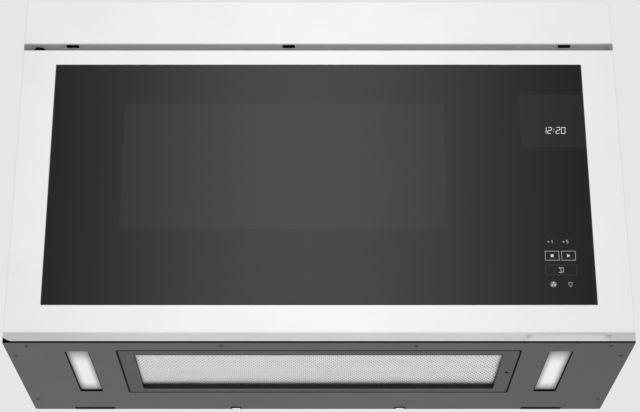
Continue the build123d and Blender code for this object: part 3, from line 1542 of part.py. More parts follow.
# ==================================================== choke panel with the screened window
choke_wall = 1.5
choke_floor = 2.0
window_rib = 8.0
choke_rear_y = door_rear_y + choke_stand
choke_front_y = choke_rear_y - choke_depth
choke_z = cavity_mid_z
screen_pitch_x = window_width / screen_columns
screen_pitch_z = window_height / screen_rows

with BuildPart() as choke_frame:
    with BuildSketch(Plane.XZ.offset(-choke_front_y)):
        with Locations((cavity_x, choke_z)):
            RectangleRounded(choke_width, choke_height, choke_corner)
    extrude(amount=-choke_depth)
    with BuildSketch(Plane.XZ.offset(-inner_rear_y)):
        with Locations((cavity_x, choke_z)):
            RectangleRounded(choke_width + 2 * choke_flange, choke_height + 2 * choke_flange, choke_corner)
    extrude(amount=sheet)
    with BuildSketch(Plane.XZ.offset(-choke_front_y)):
        with Locations((cavity_x, choke_z)):
            RectangleRounded(choke_width - 2 * sheet, choke_height - 2 * sheet, choke_corner - sheet)
            RectangleRounded(
                choke_width - 2 * choke_channel,
                choke_height - 2 * choke_channel,
                choke_corner - sheet,
                mode=Mode.SUBTRACT,
            )
    extrude(amount=-(choke_depth - choke_cover_sheet), mode=Mode.SUBTRACT)
    with BuildSketch(Plane.XZ.offset(-choke_front_y)):
        with Locations((window_x, window_z)):
            RectangleRounded(window_width, window_height, window_corner)
    extrude(amount=-choke_depth, mode=Mode.SUBTRACT)
    with BuildSketch(Plane.XZ.offset(-choke_front_y)):
        with Locations((cavity_x, choke_z)):
            Rectangle(
                choke_width - 2 * choke_channel - 2 * choke_wall,
                choke_height - 2 * choke_channel - 2 * choke_wall,
            )
            Rectangle(window_width + 2 * window_rib, window_height + 2 * window_rib, mode=Mode.SUBTRACT)
    extrude(amount=-(choke_depth - choke_floor), mode=Mode.SUBTRACT)
save(choke_frame, "choke_frame")

with BuildPart() as door_screen:
    with BuildSketch(Plane.XZ.offset(-choke_front_y)):
        with Locations((window_x, window_z)):
            Rectangle(window_width + 2 * window_rib, window_height + 2 * window_rib)
            with GridLocations(screen_pitch_x, screen_pitch_z, screen_columns, screen_rows):
                Rectangle(screen_pitch_x - screen_bar, screen_pitch_z - screen_bar, mode=Mode.SUBTRACT)
    extrude(amount=screen_sheet)
save(door_screen, "door_screen")

with BuildPart() as inner_window:
    with BuildSketch(Plane.XZ.offset(-choke_rear_y + inner_pane + fit_gap)):
        with Locations((window_x, window_z)):
            RectangleRounded(window_width - 2 * fit_gap, window_height - 2 * fit_gap, window_corner)
    extrude(amount=-inner_pane)
save(inner_window, "inner_window")

# ==================================================== grease filter with its rails
with BuildPart() as filter_frame:
    with BuildSketch(Plane.XY):
        with Locations((0, filter_y)):
            RectangleRounded(filter_width, filter_length, filter_corner)
        with Locations((0, filter_opening_y)):
            RectangleRounded(
                filter_opening_width, filter_opening_length, filter_corner, mode=Mode.SUBTRACT
            )
    extrude(amount=filter_depth)
    groove = 2 * (mesh_lap + mesh_fit)
    with BuildSketch(Plane.XY.offset(filter_lip - mesh_fit)):
        with Locations((0, filter_opening_y)):
            Rectangle(filter_opening_width + groove, filter_opening_length + groove)
    extrude(amount=filter_mesh_sheet + 2 * mesh_fit, mode=Mode.SUBTRACT)
save(filter_frame, "filter_frame")

mesh_pitch_x = filter_opening_width / mesh_columns
mesh_pitch_y = filter_opening_length / mesh_rows
with BuildPart() as filter_mesh:
    with BuildSketch(Plane.XY.offset(filter_lip)):
        with Locations((0, filter_opening_y)):
            Rectangle(filter_opening_width + 2 * mesh_lap, filter_opening_length + 2 * mesh_lap)
            with GridLocations(mesh_pitch_x, mesh_pitch_y, mesh_columns, mesh_rows):
                Rectangle(mesh_pitch_x - mesh_bar, mesh_pitch_y - mesh_bar, mode=Mode.SUBTRACT)
    extrude(amount=filter_mesh_sheet)
save(filter_mesh, "filter_mesh")

# ==================================================== cooktop lamps
def lamp_lens(side):
    """A lens lying on the bottom panel round one lamp opening."""
    with BuildPart() as lens:
        with BuildSketch(Plane.XY.offset(base_sheet)):
            with Locations((side * lamp_x, lamp_y)):
                RectangleRounded(lamp_width + 2 * lens_margin, lamp_length + 2 * lens_margin, lamp_corner)
        extrude(amount=lens_thickness)
    return lens


for side_name, side in (("left", -1), ("right", 1)):
    save(lamp_lens(side), f"lamp_lens_{side_name}")

lens_top_z = base_sheet + lens_thickness
with BuildPart() as lamp_housings:
    with BuildSketch(Plane.XY.offset(lens_top_z)):
        with Locations((-lamp_x, lamp_y), (lamp_x, lamp_y)):
            RectangleRounded(lamp_width + 2 * lens_margin, lamp_length + 2 * lens_margin, lamp_corner)
    extrude(amount=reflector_height)
    with BuildSketch(Plane.XY.offset(lens_top_z)):
        with Locations((-lamp_x, lamp_y), (lamp_x, lamp_y)):
            RectangleRounded(lamp_width, lamp_length, lamp_corner)
    extrude(amount=reflector_height - reflector_wall, mode=Mode.SUBTRACT)
save(lamp_housings, "lamp_housings")

board_top = lens_top_z + reflector_height - reflector_wall
led_board_length = lamp_length - 2 * (lens_margin + reflector_wall)
led_pitch = led_board_length / led_count
with BuildPart() as lamp_boards:
    with BuildSketch(Plane.XY.offset(board_top)):
        with Locations((-lamp_x, lamp_y), (lamp_x, lamp_y)):
            Rectangle(led_board_width, led_board_length)
    extrude(amount=-board_sheet)
    with BuildSketch(Plane.XY.offset(board_top - board_sheet)):
        with Locations((-lamp_x, lamp_y), (lamp_x, lamp_y)):
            with GridLocations(1, led_pitch, 1, led_count):
                Rectangle(led_size, led_size)
    extrude(amount=-(led_board_height - board_sheet))
save(lamp_boards, "lamp_boards")

# ==================================================== screws
with BuildPart() as screws:
    for x, y in base_screw_points:
        rod((x, y, -screw_head_height), screw_head_radius, screw_head_height)
        rod((x, y, 0), screw_radius, screw_length)
    for x, z in rear_cover_points:
        cover_y = -plate_sheet - sheet
        rod((x, cover_y - screw_head_height, z), screw_head_radius, screw_head_height, (0, 1, 0))
        rod((x, cover_y, z), screw_radius, -cover_y - screw_hole_gap, (0, 1, 0))
save(screws, "screws")
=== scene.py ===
import math

import bmesh
import bpy
import numpy as np
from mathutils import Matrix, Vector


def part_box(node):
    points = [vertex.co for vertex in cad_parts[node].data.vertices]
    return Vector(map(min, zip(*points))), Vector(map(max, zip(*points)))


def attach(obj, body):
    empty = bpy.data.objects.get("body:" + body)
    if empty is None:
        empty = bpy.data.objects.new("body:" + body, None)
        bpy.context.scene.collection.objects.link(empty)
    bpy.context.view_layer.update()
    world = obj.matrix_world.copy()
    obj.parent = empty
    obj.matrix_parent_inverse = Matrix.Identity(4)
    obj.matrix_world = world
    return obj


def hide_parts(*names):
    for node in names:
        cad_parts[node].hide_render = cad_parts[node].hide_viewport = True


# An over the range microwave with a flush full-width door. X runs to the right as seen from the
# front, Y runs back into the wall and Z runs up from the underside. Sizes are in metres unless a
# name or a comment says mm.
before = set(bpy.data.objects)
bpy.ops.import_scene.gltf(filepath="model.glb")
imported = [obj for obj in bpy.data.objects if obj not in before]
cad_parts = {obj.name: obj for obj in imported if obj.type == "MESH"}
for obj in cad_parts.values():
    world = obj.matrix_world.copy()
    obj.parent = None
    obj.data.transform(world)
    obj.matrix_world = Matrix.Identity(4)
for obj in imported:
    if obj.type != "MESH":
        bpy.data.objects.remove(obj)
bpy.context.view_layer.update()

# ------------------------------ cabinet shell
# The bottom panel, the wrap that makes both sides and the roof, and the front plate are pressed
# from steel sheet, powder coated dark grey after bending. Satin, with a fine orange peel.
MM = 0.001


def linear(hex_code):
    """The linear RGBA of an sRGB hex colour: each level is undone by the sRGB curve."""
    levels = [int(hex_code[i : i + 2], 16) / 255 for i in (1, 3, 5)]
    return (*[v / 12.92 if v <= 0.04045 else ((v + 0.055) / 1.055) ** 2.4 for v in levels], 1.0)


def per_mm(size_mm):
    """The texture scale that repeats a pattern every so many millimetres on Object coordinates."""
    return 1 / (size_mm * MM)


def feed(node, **inputs):
    """Gives inputs of a node a value, or the first output of another node. _ stands for a space,
    and _0 and _1 are inputs by their number."""
    for name, value in inputs.items():
        socket = node.inputs[int(name[1]) if name[0] == "_" else name.replace("_", " ")]
        if isinstance(value, bpy.types.Node):
            value = value.outputs[0]
        if isinstance(value, bpy.types.NodeSocket):
            node.id_data.links.new(value, socket)
        else:
            socket.default_value = value
    return node


def add_node(material, kind, settings=None, stops=None, **inputs):
    """Adds a node to a material or to the world, with its settings, its stops, which are pairs
    of a level and a hex colour, and its inputs."""
    node = material.node_tree.nodes.new("ShaderNode" + kind)
    for name, value in (settings or {}).items():
        setattr(node, name, value)
    for index, (level, hex_code) in enumerate(stops or ()):
        ramp = node.color_ramp.elements
        stop = ramp[index] if index < 2 else ramp.new(level)
        stop.position = level
        stop.color = linear(hex_code)
    return feed(node, **inputs)


def shader_of(material):
    """The Principled shader of a material."""
    return material.node_tree.nodes["Principled BSDF"]


def start_material(name):
    """A new material and the Object coordinates that its patterns read."""
    material = bpy.data.materials.new(name)
    material.use_nodes = True
    return material, add_node(material, "TexCoord").outputs["Object"]


def surface(material, colour, relief, rough, strength, depth_mm, span=(0, 1), height=None, **more):
    """The colour of a material and its relief: a pattern whose levels in the span move the
    roughness between two values, and which is raised as bump by a depth in mm. Where height is
    given, that pattern is raised instead. More inputs go to the shader as they are."""
    gloss = add_node(
        material,
        "MapRange",
        Value=relief,
        From_Min=span[0],
        From_Max=span[1],
        To_Min=rough[0],
        To_Max=rough[1],
    )
    raised = relief if height is None else height
    bump = add_node(material, "Bump", Height=raised, Strength=strength, Distance=depth_mm * MM)
    feed(shader_of(material), Base_Color=colour, Roughness=gloss, Normal=bump, **more)
    return material


def dress(material, *nodes):
    """Gives CAD nodes their finish."""
    for name in nodes:
        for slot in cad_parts[name].material_slots:
            slot.material = material


def coated_steel(name, shade, light_shade, peel_mm, peel_depth_mm, roughness):
    """Sheet steel under a baked coat: faint clouds in the shade, orange peel in the gloss."""
    material, place = start_material(name)
    clouds = add_node(material, "TexNoise", Vector=place, Scale=per_mm(70), Detail=4.0)
    shades = add_node(material, "ValToRGB", stops=[(0.3, shade), (0.7, light_shade)], Fac=clouds)
    peel = add_node(material, "TexNoise", Vector=place, Scale=per_mm(peel_mm), Detail=2.0)
    rough = (roughness - 0.04, roughness + 0.04)
    return surface(material, shades, peel, rough, 0.5, peel_depth_mm, span=(0.3, 0.7), IOR=1.5)


def place_along(material, along):
    """How far a point of the object lies along an axis, given by its letter. Anything else is
    passed on as it is."""
    if not isinstance(along, str):
        return along
    place = add_node(material, "TexCoord").outputs["Object"]
    return add_node(material, "SeparateXYZ", Vector=place).outputs[along]


def fade(material, along, start, end):
    """0 before start and 1 past end, eased between them, along an axis or a pattern."""
    ease = {"interpolation_type": "SMOOTHSTEP"}
    value = place_along(material, along)
    return add_node(material, "MapRange", ease, Value=value, From_Min=start, From_Max=end)


def both(material, mask, other):
    """The product of two values, which is 1 where two masks both are."""
    return add_node(material, "Math", {"operation": "MULTIPLY"}, _0=mask, _1=other)


def away_from(material, along, middle):
    """The distance from a middle, along an axis or a pattern."""
    value = place_along(material, along)
    off = add_node(material, "Math", {"operation": "SUBTRACT"}, _0=value, _1=middle)
    return add_node(material, "Math", {"operation": "ABSOLUTE"}, _0=off)


def paint_where(material, mask, shade):
    """Lays another shade over a material's colour where a mask is 1."""
    colour = shader_of(material).inputs["Base Color"]
    under = colour.links[0].from_socket
    mix = add_node(material, "MixRGB", Fac=mask, Color1=under, Color2=linear(shade))
    feed(shader_of(material), Base_Color=mix)


# powder coat: a matt, slightly grainy dark grey, by its two shades, the size and depth of its peel
# in mm and its roughness
grey_powder = ("#575757", "#5c5c5c", 1.6, 0.03, 0.56)
grey_coat = coated_steel("powder_coated_steel_grey", *grey_powder)
# painted shade: the coat is painted darker towards the plate's two ends
painted_shade_ends_x = (335 * MM, 374 * MM)
paint_where(grey_coat, fade(grey_coat, away_from(grey_coat, "X", 0), *painted_shade_ends_x), "#4c4c4c")
dress(grey_coat, "front_plate")
# the wrap's rear hem is folded and spot welded, and shows as a fine line round the cabinet
hem_y = -14 * MM
hem_reach = (0.9 * MM, 0.4 * MM)
wrap_coat = coated_steel("powder_coated_steel_grey_hem", *grey_powder)
from_hem = away_from(wrap_coat, "Y", hem_y)
paint_where(wrap_coat, fade(wrap_coat, from_hem, *hem_reach), "#353535")
dress(wrap_coat, "outer_wrap")
# painted shade: a thin dark line is painted along the bottom panel's rear edge, and the coat is
# painted a little darker towards the right
rear_edge_shade_y = (-3 * MM, -1.5 * MM)
right_shade_x = (120 * MM, 375 * MM)
base_coat = coated_steel("powder_coated_steel_grey_base", *grey_powder)
paint_where(base_coat, fade(base_coat, "Y", *rear_edge_shade_y), "#333333")
paint_where(base_coat, fade(base_coat, "X", *right_shade_x), "#505050")
dress(base_coat, "base_plate")

# ------------------------------ back panel and inner sheet metal
# Everything behind the coat is left in hot-dip galvanised steel sheet: the back panel, the duct
# cover, the blower's scrolls, the waveguide and the shelf. It shows the zinc's crystal spangle.


def galvanised_steel(name):
    """Zinc crystals as Voronoi cells, each with its own shade, gloss and slight tilt."""
    material, place = start_material(name)
    warp = add_node(material, "TexNoise", Vector=place, Scale=per_mm(9), Detail=2.0)
    drift = add_node(
        material,
        "VectorMath",
        {"operation": "SCALE"},
        Vector=warp.outputs["Color"],
        Scale=4 * MM,
    )
    moved = add_node(material, "VectorMath", {"operation": "ADD"}, _0=place, _1=drift)
    crystal = add_node(material, "TexVoronoi", Vector=moved, Scale=per_mm(6))
    grey = add_node(material, "RGBToBW", Color=crystal.outputs["Color"])
    shades = add_node(material, "ValToRGB", stops=[(0.1, "#a9adb0"), (0.9, "#c5c8ca")], Fac=grey)
    tilt = crystal.outputs["Distance"]
    return surface(material, shades, grey, (0.34, 0.52), 0.15, 0.05, height=tilt, Metallic=1.0)


galvanised = galvanised_steel("galvanised_steel_spangled")
dress(galvanised, "rear_duct_cover", "stirrer_well", "waveguide", "component_shelf")
dress(galvanised, "blower_scroll_left", "blower_scroll_right", "blower_wheel_left")
dress(galvanised, "blower_wheel_right", "damper_frame", "damper_flap")
# painted shade: the back panel's lowest millimetres are painted dark grey, as a dark line at its foot
edge_shade_z = (2 * MM, 1.5 * MM)
back_steel = galvanised_steel("galvanised_steel_shaded_edge")
paint_where(back_steel, fade(back_steel, "Z", *edge_shade_z), "#2c2c2c")
# upright beads are pressed into it every 110 mm, to keep the large sheet stiff, and end 20 to 26 mm
# short of its top and bottom
bead_pitch_mm = 110
bead_depth = 3.5 * MM
bead_stop = 20 * MM
bead_run_out = 6 * MM
# a wave texture repeats every 2 pi / 20 of its coordinates
wave_repeat = 2 * math.pi / 20
sheet_place = add_node(back_steel, "TexCoord").outputs["Object"]
bead_scale = per_mm(bead_pitch_mm) * wave_repeat
wave = add_node(back_steel, "TexWave", {"wave_profile": "SIN"}, Vector=sheet_place, Scale=bead_scale)
crest = fade(back_steel, wave, 0.86, 1.0)
back_low, back_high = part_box("back_panel")
bead_foot = back_low.z + bead_stop
bead_head = back_high.z - bead_stop
above = fade(back_steel, "Z", bead_foot, bead_foot + bead_run_out)
below = fade(back_steel, "Z", bead_head, bead_head - bead_run_out)
bead = both(back_steel, crest, both(back_steel, above, below))
spangle_bump = shader_of(back_steel).inputs["Normal"].links[0].from_node
bead_bump = add_node(back_steel, "Bump", Height=bead, Distance=bead_depth, Normal=spangle_bump)
feed(shader_of(back_steel), Normal=bead_bump)
dress(back_steel, "back_panel")

# ------------------------------ screws
# Pan-head sheet metal screws, coated grey with the panels they hold. Their cross recess is painted
# near black, as painted shade. They hold the bottom panel to the wrap and the rear duct's cover.
screw_radius = 2.5 * MM
screw_height = 1.2 * MM
recess_arm = 1.5 * MM
recess_half_width = 0.4 * MM
recess_depth = 0.8 * MM
recess_wall = 0.3 * MM
recess_end = 0.4 * MM


def grid_faces(rows, columns, around=False):
    """Quads joining a grid of points row by row; around joins the ends of each row too."""
    row = np.arange(rows - 1)[:, None] * columns
    column = np.arange(columns if around else columns - 1)[None, :]
    after = (column + 1) % columns
    corners = np.broadcast_arrays(row + column, row + after, row + columns + after, row + columns + column)
    return np.stack(corners, axis=-1).reshape(-1, 4)


def together(shapes):
    """Several shapes as one set of points and faces."""
    steps = np.cumsum([0] + [len(points) for points, _ in shapes[:-1]])
    faces = [[i + step for i in face] for (_, found), step in zip(shapes, steps) for face in found]
    return np.concatenate([points for points, _ in shapes]), faces


def add_piece(name, shape, material, body, finish, *replaced, at=(0, 0, 0), sharp=30, marks=None):
    """A mesh piece from its points and faces, set at a place, closed at its poles and riding on
    a body. marks gives each point a number that its material can read."""
    points, faces = shape
    mesh = bpy.data.meshes.new(name)
    mesh.from_pydata((points.reshape(-1, 3) + at).tolist(), [], [list(face) for face in faces])
    if marks is not None:
        mesh.attributes.new("mark", "FLOAT", "POINT").data.foreach_set("value", np.ravel(marks))
    working = bmesh.new()
    working.from_mesh(mesh)
    bmesh.ops.remove_doubles(working, verts=working.verts, dist=0.002 * MM)
    bmesh.ops.recalc_face_normals(working, faces=working.faces)
    working.to_mesh(mesh)
    working.free()
    mesh.shade_smooth()
    mesh.set_sharp_from_angle(angle=math.radians(sharp))
    mesh.materials.append(material)
    piece = bpy.data.objects.new(name, mesh)
    bpy.context.scene.collection.objects.link(piece)
    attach(piece, body)
    if replaced:
        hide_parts(*replaced)
    return piece


def rolled_metal(name, shade, light_shade, roughness, brush=(1, 1, 1), grain_mm=0.8):
    """Bare metal with fine rolling marks: noise stretched along the axis where brush is small."""
    material, place = start_material(name)
    stretched = add_node(material, "Mapping", Vector=place, Scale=brush)
    marks = add_node(material, "TexNoise", Vector=stretched, Scale=per_mm(grain_mm), Detail=3.0)
    clouds = add_node(material, "TexNoise", Vector=place, Scale=per_mm(25), Detail=3.0)
    shades = add_node(material, "ValToRGB", stops=[(0.3, shade), (0.7, light_shade)], Fac=clouds)
    rough = (roughness - 0.08, roughness + 0.08)
    return surface(material, shades, marks, rough, 0.25, 0.02, Metallic=1.0)


def screw_heads(places, outward, side):
    """Heads at places: a dome over radius and turn, sunk where either arm of a cross covers it,
    and a mark for each point that is 1 in the cross. outward is the direction the heads face and
    side is any direction square to it."""
    turn = np.linspace(0, 2 * math.pi, 40, endpoint=False)
    share = np.array([0, 0.09, 0.17, 0.25, 0.34, 0.42, 0.5, 0.58, 0.7, 0.84, 0.94, 1, 1, 0])
    radius = share * screw_radius
    across = radius[:, None] * np.cos(turn)
    along = radius[:, None] * np.sin(turn)
    near, far = np.minimum(abs(across), abs(along)), np.maximum(abs(across), abs(along))
    inside = np.clip((recess_half_width - near) / recess_wall + 1, 0, 1)
    inside = inside * np.clip((recess_arm - far) / recess_end, 0, 1)
    rise = screw_height * (1 - 0.45 * (radius[:, None] / screw_radius) ** 4) - recess_depth * inside
    rise[-2:] = 0
    upward = np.cross(outward, side)
    head = across[..., None] * np.array(side) + along[..., None] * upward
    head = head + rise[..., None] * np.array(outward)
    points = np.array(places)[:, None, None, :] + head
    faces = grid_faces(len(radius), len(turn), around=True)
    step = np.arange(len(places))[:, None, None] * inside.size
    marks = np.broadcast_to(inside, points.shape[:3]).ravel()
    return (points.reshape(-1, 3), (faces + step).reshape(-1, 4)), marks


coated_screw = coated_steel("coated_screw_shaded_recess", "#545454", "#5c5c5c", 1.2, 0.03, 0.5)
# painted shade: the cross recess, where the mark is 1, is painted near black
recess_shade_mark = add_node(coated_screw, "Attribute", {"attribute_name": "mark"}).outputs["Fac"]
paint_where(coated_screw, recess_shade_mark, "#0c0c0c")
base_low, base_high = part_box("base_plate")
front_row_y = base_low.y + 12 * MM
middle_x = 117.5 * MM
corner_x = base_high.x - 27.2 * MM
flank_x = base_high.x - 9.3 * MM
flank_rows_y = (base_low.y + 50.1 * MM, -44.6 * MM)
base_places = [(x, front_row_y, 0) for x in (middle_x, -middle_x, -corner_x, corner_x)]
base_places += [(x, y, 0) for x in (flank_x, -flank_x) for y in flank_rows_y]
bottom_heads, bottom_marks = screw_heads(base_places, (0, 0, -1), (1, 0, 0))
cover_low, cover_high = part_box("rear_duct_cover")
cover_x = cover_high.x - 4 * MM
cover_z = (cover_low.z + cover_high.z) / 2
cover_rows_z = (cover_z - 25 * MM, cover_z + 25 * MM)
cover_places = [(x, cover_low.y, z) for x in (-cover_x, cover_x) for z in cover_rows_z]
cover_heads, cover_marks = screw_heads(cover_places, (0, -1, 0), (1, 0, 0))
heads = together([bottom_heads, cover_heads])
marks = np.concatenate([bottom_marks, cover_marks])
add_piece("screw_heads", heads, coated_screw, "cabinet", "bright_steel", "screws", marks=marks)

# ------------------------------ oven cavity
# The cavity is a welded steel box, sprayed inside with a pale grey enamel that is baked hard and
# flecked with darker grit. A flat glass-ceramic floor lies over the stirrer well.


def flecked_enamel():
    """Baked cavity enamel: pale grey with small dark flecks, which are cells of 2.5 mm."""
    material, place = start_material("baked_cavity_enamel_flecked")
    cells = add_node(material, "TexVoronoi", Vector=place, Scale=per_mm(2.5))
    shades = add_node(material, "ValToRGB", stops=[(0.10, "#8b8d8f"), (0.22, "#c4c6c7")], Fac=cells)
    peel = add_node(material, "TexNoise", Vector=place, Scale=per_mm(2.2), Detail=2.0)
    return surface(material, shades, peel, (0.26, 0.40), 0.4, 0.04, IOR=1.5)


def glass_ceramic():
    """Rolled glass ceramic: milky, with faint grit and the light waves of its rolling."""
    material, place = start_material("glass_ceramic_rolled")
    grit = add_node(material, "TexNoise", Vector=place, Scale=per_mm(0.9), Detail=1.0)
    shades = add_node(material, "ValToRGB", stops=[(0.36, "#c9c6be"), (0.50, "#e4e2dc")], Fac=grit)
    waves = add_node(material, "TexNoise", Vector=place, Scale=per_mm(35), Detail=1.0)
    return surface(material, shades, waves, (0.14, 0.26), 0.3, 0.05, IOR=1.54)


dress(flecked_enamel(), "oven_cavity")
dress(glass_ceramic(), "floor_glass")

# ------------------------------ microwave feed
# A magnetron on a galvanised waveguide feeds the stirrer under the floor. Its fins, the stirrer
# and the small motor cans are rolled aluminium and zinc-plated steel, with brushing marks.
bright_steel = rolled_metal("zinc_plated_steel", "#b9bbbd", "#d2d3d4", 0.34)
dress(bright_steel, "stirrer_motor", "magnetron_yoke", "blower_motor", "blower_shaft")
dress(bright_steel, "lower_hinge", "upper_hinge")
aluminium = rolled_metal("rolled_aluminium_sheet", "#cfd1d3", "#e2e3e4", 0.36, brush=(0.05, 1, 1))
dress(aluminium, "stirrer", "magnetron_tube", "capacitor")

# ------------------------------ transformer, solenoid and fan motor
# Stacks of 0.5 mm silicon-steel stampings, varnished dark, carry coils of enamelled copper wire.
# The eye sees lines along the stack and the round turns of the wire.


def banded(name, shade, light_shade, band_mm, groove_mm, direction, metallic, roughness):
    """Parallel bands every so many millimetres, sunk between them, as in a stack or a winding."""
    material, place = start_material(name)
    bands = add_node(
        material,
        "TexWave",
        {"bands_direction": direction},
        Vector=place,
        Scale=per_mm(band_mm) * wave_repeat,
        Distortion=0.3,
        Detail=1.0,
    )
    shades = add_node(material, "ValToRGB", stops=[(0.15, shade), (0.75, light_shade)], Fac=bands)
    wear = add_node(material, "TexNoise", Vector=place, Scale=per_mm(6), Detail=3.0)
    rough = (roughness - 0.1, roughness + 0.1)
    return surface(material, shades, wear, rough, 0.8, groove_mm, height=bands, Metallic=metallic)


# the real sheets of 0.5 mm and wires of about 1 mm are drawn 10 and 9 mm thick, so that they show
stamped_core = banded("silicon_steel_stampings", "#2b2724", "#5a544e", 10.05, 0.24, "Y", 0.6, 0.5)
dress(stamped_core, "transformer_core", "fan_motor", "release_solenoid")
copper_winding = banded("enamelled_copper_winding", "#5a2412", "#b4582f", 8.8, 0.21, "Z", 0.7, 0.35)
dress(copper_winding, "transformer_coils")

# ------------------------------ circuit boards
# Glass-fibre board under green solder mask, with copper tracks showing as paler lines, and the
# relays and chips on it dark. The lamps' boards are the same.


def printed_board():
    """Green mask over tracks: the joints between bricks of 8.5 by 3 mm stand for the paler
    copper tracks."""
    material, place = start_material("glass_fibre_board_green")
    turned = add_node(material, "Mapping", Vector=place, Rotation=(0, math.pi / 2, 0))
    tracks = add_node(
        material,
        "TexBrick",
        {"offset": 0.37},
        Vector=turned,
        Color1=linear("#1d5a34"),
        Color2=linear("#226a3c"),
        Mortar=linear("#4f9a63"),
        Scale=per_mm(5),
        Mortar_Size=0.06,
        Brick_Width=1.7,
        Row_Height=0.6,
    )
    mask, raised = tracks.outputs["Color"], tracks.outputs["Fac"]
    fibres = add_node(material, "TexNoise", Vector=place, Scale=per_mm(1.2), Detail=2.0)
    return surface(material, mask, fibres, (0.3, 0.45), 0.4, 0.05, height=raised, IOR=1.5)


dress(printed_board(), "power_board", "lamp_boards")

# ------------------------------ moulded plastic pieces
# Shroud, fan, latch and switch housings are injection moulded: ABS in grey, glass-filled
# polyester in black and nylon in white, each with the fine spark-eroded grain of its mould.


def moulded_plastic(name, shade, light_shade, roughness, grain_mm=0.6, gleam=0.5):
    """Mould grain in the gloss and the bump, with faint flow clouds in the shade."""
    material, place = start_material(name)
    flow = add_node(material, "TexNoise", Vector=place, Scale=per_mm(18), Detail=3.0)
    shades = add_node(material, "ValToRGB", stops=[(0.3, shade), (0.7, light_shade)], Fac=flow)
    grain = add_node(material, "TexNoise", Vector=place, Scale=per_mm(grain_mm), Detail=2.0)
    rough = (roughness - 0.06, roughness + 0.06)
    return surface(material, shades, grain, rough, 0.4, 0.03, IOR=1.5, Specular_IOR_Level=gleam)


grey_plastic = moulded_plastic("abs_moulded_grey", "#5d6062", "#686b6d", 0.45)
dress(grey_plastic, "fan_shroud", "fan_blade", "latch_bar")
black_plastic = moulded_plastic("polyester_moulded_black", "#131314", "#1d1d1f", 0.42)
dress(black_plastic, "cord_bushing", "interlock_switches", "touch_sensor")
dress(black_plastic, "display_module")
white_plastic = moulded_plastic("nylon_moulded_white", "#d5d4cf", "#dedcd8", 0.45)
dress(white_plastic, "cavity_lamp", "interlock_housing", "lamp_housings", "door_pusher")
dress(white_plastic, "plunger_primary", "plunger_secondary", "plunger_monitor", "release_lever")

# ------------------------------ charcoal filter
# Activated charcoal granules held in a plastic tray behind net. Black and crumbly, with a dull
# sparkle on the broken faces of the grains.


def charcoal_grains():
    """Grains of 3 mm as Voronoi cells, raised in their middles."""
    material, place = start_material("activated_charcoal_grains")
    grains = add_node(material, "TexVoronoi", Vector=place, Scale=per_mm(3))
    shades = add_node(material, "ValToRGB", stops=[(0.2, "#2e2e2f"), (0.8, "#0c0c0c")], Fac=grains)
    gloss = add_node(material, "MapRange", Value=grains, To_Min=0.45, To_Max=0.85)
    bump = add_node(material, "Bump", {"invert": True}, Height=grains, Strength=1.0, Distance=1 * MM)
    feed(shader_of(material), Base_Color=shades, Roughness=gloss, Normal=bump)
    return material


dress(charcoal_grains(), "charcoal_filter")

# ------------------------------ grease filter
# The filter is a pad of expanded aluminium in a folded steel frame. The frame's flat face is
# coated like the bottom panel, and its folded edges are painted near black as painted shade. Black
# edging lines the opening and also stands for the shade in the gap round it.


def normal_z(material):
    """The Z of the surface's normal: 1 where it looks up and -1 where it looks down."""
    normal = add_node(material, "NewGeometry").outputs["Normal"]
    return add_node(material, "SeparateXYZ", Vector=normal).outputs["Z"]


frame_coat = coated_steel("coated_frame_shaded_folds", "#484848", "#4d4d4d", 1.6, 0.03, 0.56)
# painted shade: faces that look sideways, the frame's folded edges, are painted near black
flatness = away_from(frame_coat, normal_z(frame_coat), 0)
fold_shade = add_node(frame_coat, "MapRange", Value=flatness, From_Min=0.6, From_Max=0.4)
paint_where(frame_coat, fold_shade, "#0e0e0e")
dress(frame_coat, "filter_frame")

mesh_low, mesh_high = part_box("filter_mesh")
# the real cells, likely about 5 by 3 mm, are drawn larger so that their weave shows
cell_length = 10.0 * MM
cell_width = 5.0 * MM
strand_width = 1.96 * MM
strand_sheet = 0.2 * MM
strand_swing = 0.24 * cell_width
strand_tilt = 0.06
ripple_height = 0.12 * MM
layer_foot = mesh_low.z + 0.1 * MM
layer_step = 0.4 * MM
# how far each layer is shifted, in half cells along X and along Y
layer_shifts = ((0, 0), (0.5, 0.5))
mesh_lap = 5.5 * MM


def tube_faces(rows, columns):
    """The faces round a tube of points, loop by loop, and the two caps that close it."""
    count = rows * columns
    caps = [list(range(columns))[::-1], list(range(count - columns, count))]
    return grid_faces(rows, columns, around=True).tolist() + caps


def expanded_sheet(height, shift_x, shift_y):
    """Strands of expanded metal. Each runs along Y as a triangle wave across X, and its
    neighbour runs as the mirror of it, so that they meet at the knots. A strand is a flat bar
    that leans to one side, cut off where it reaches the frame, and the whole sheet ripples as
    the product of two sines."""
    count = int((mesh_high.x - mesh_low.x) / (cell_width / 2)) + 2
    knots = int((mesh_high.y - mesh_low.y) / (cell_length / 2)) + 3
    strand = np.arange(count)[:, None, None]
    step = np.arange(knots)[None, :, None]
    wave = np.where((step + strand) % 2 == 0, -strand_swing, strand_swing)
    across = np.array([-0.5, 0.5, 0.5, -0.5]) * strand_width
    lift = np.array([0, 0, 1, 1]) * strand_sheet
    x = mesh_low.x - cell_width / 4 + shift_x + strand * cell_width / 2 + wave + across
    y = mesh_low.y - cell_length / 4 + shift_y + step * cell_length / 2 + 0 * x
    ripple = np.sin(x / (17 * MM) + y / (9 * MM)) * np.sin(x / (31 * MM) - y / (23 * MM))
    z = height + lift + strand_tilt * across + ripple_height * ripple
    x = np.clip(x, mesh_low.x, mesh_high.x)
    y = np.clip(y, mesh_low.y, mesh_high.y)
    points = np.stack([x, y, z], axis=-1)
    offset = np.arange(count)[:, None, None] * 4 * knots
    return points.reshape(-1, 3), (np.array(tube_faces(knots, 4)) + offset).reshape(-1, 4)


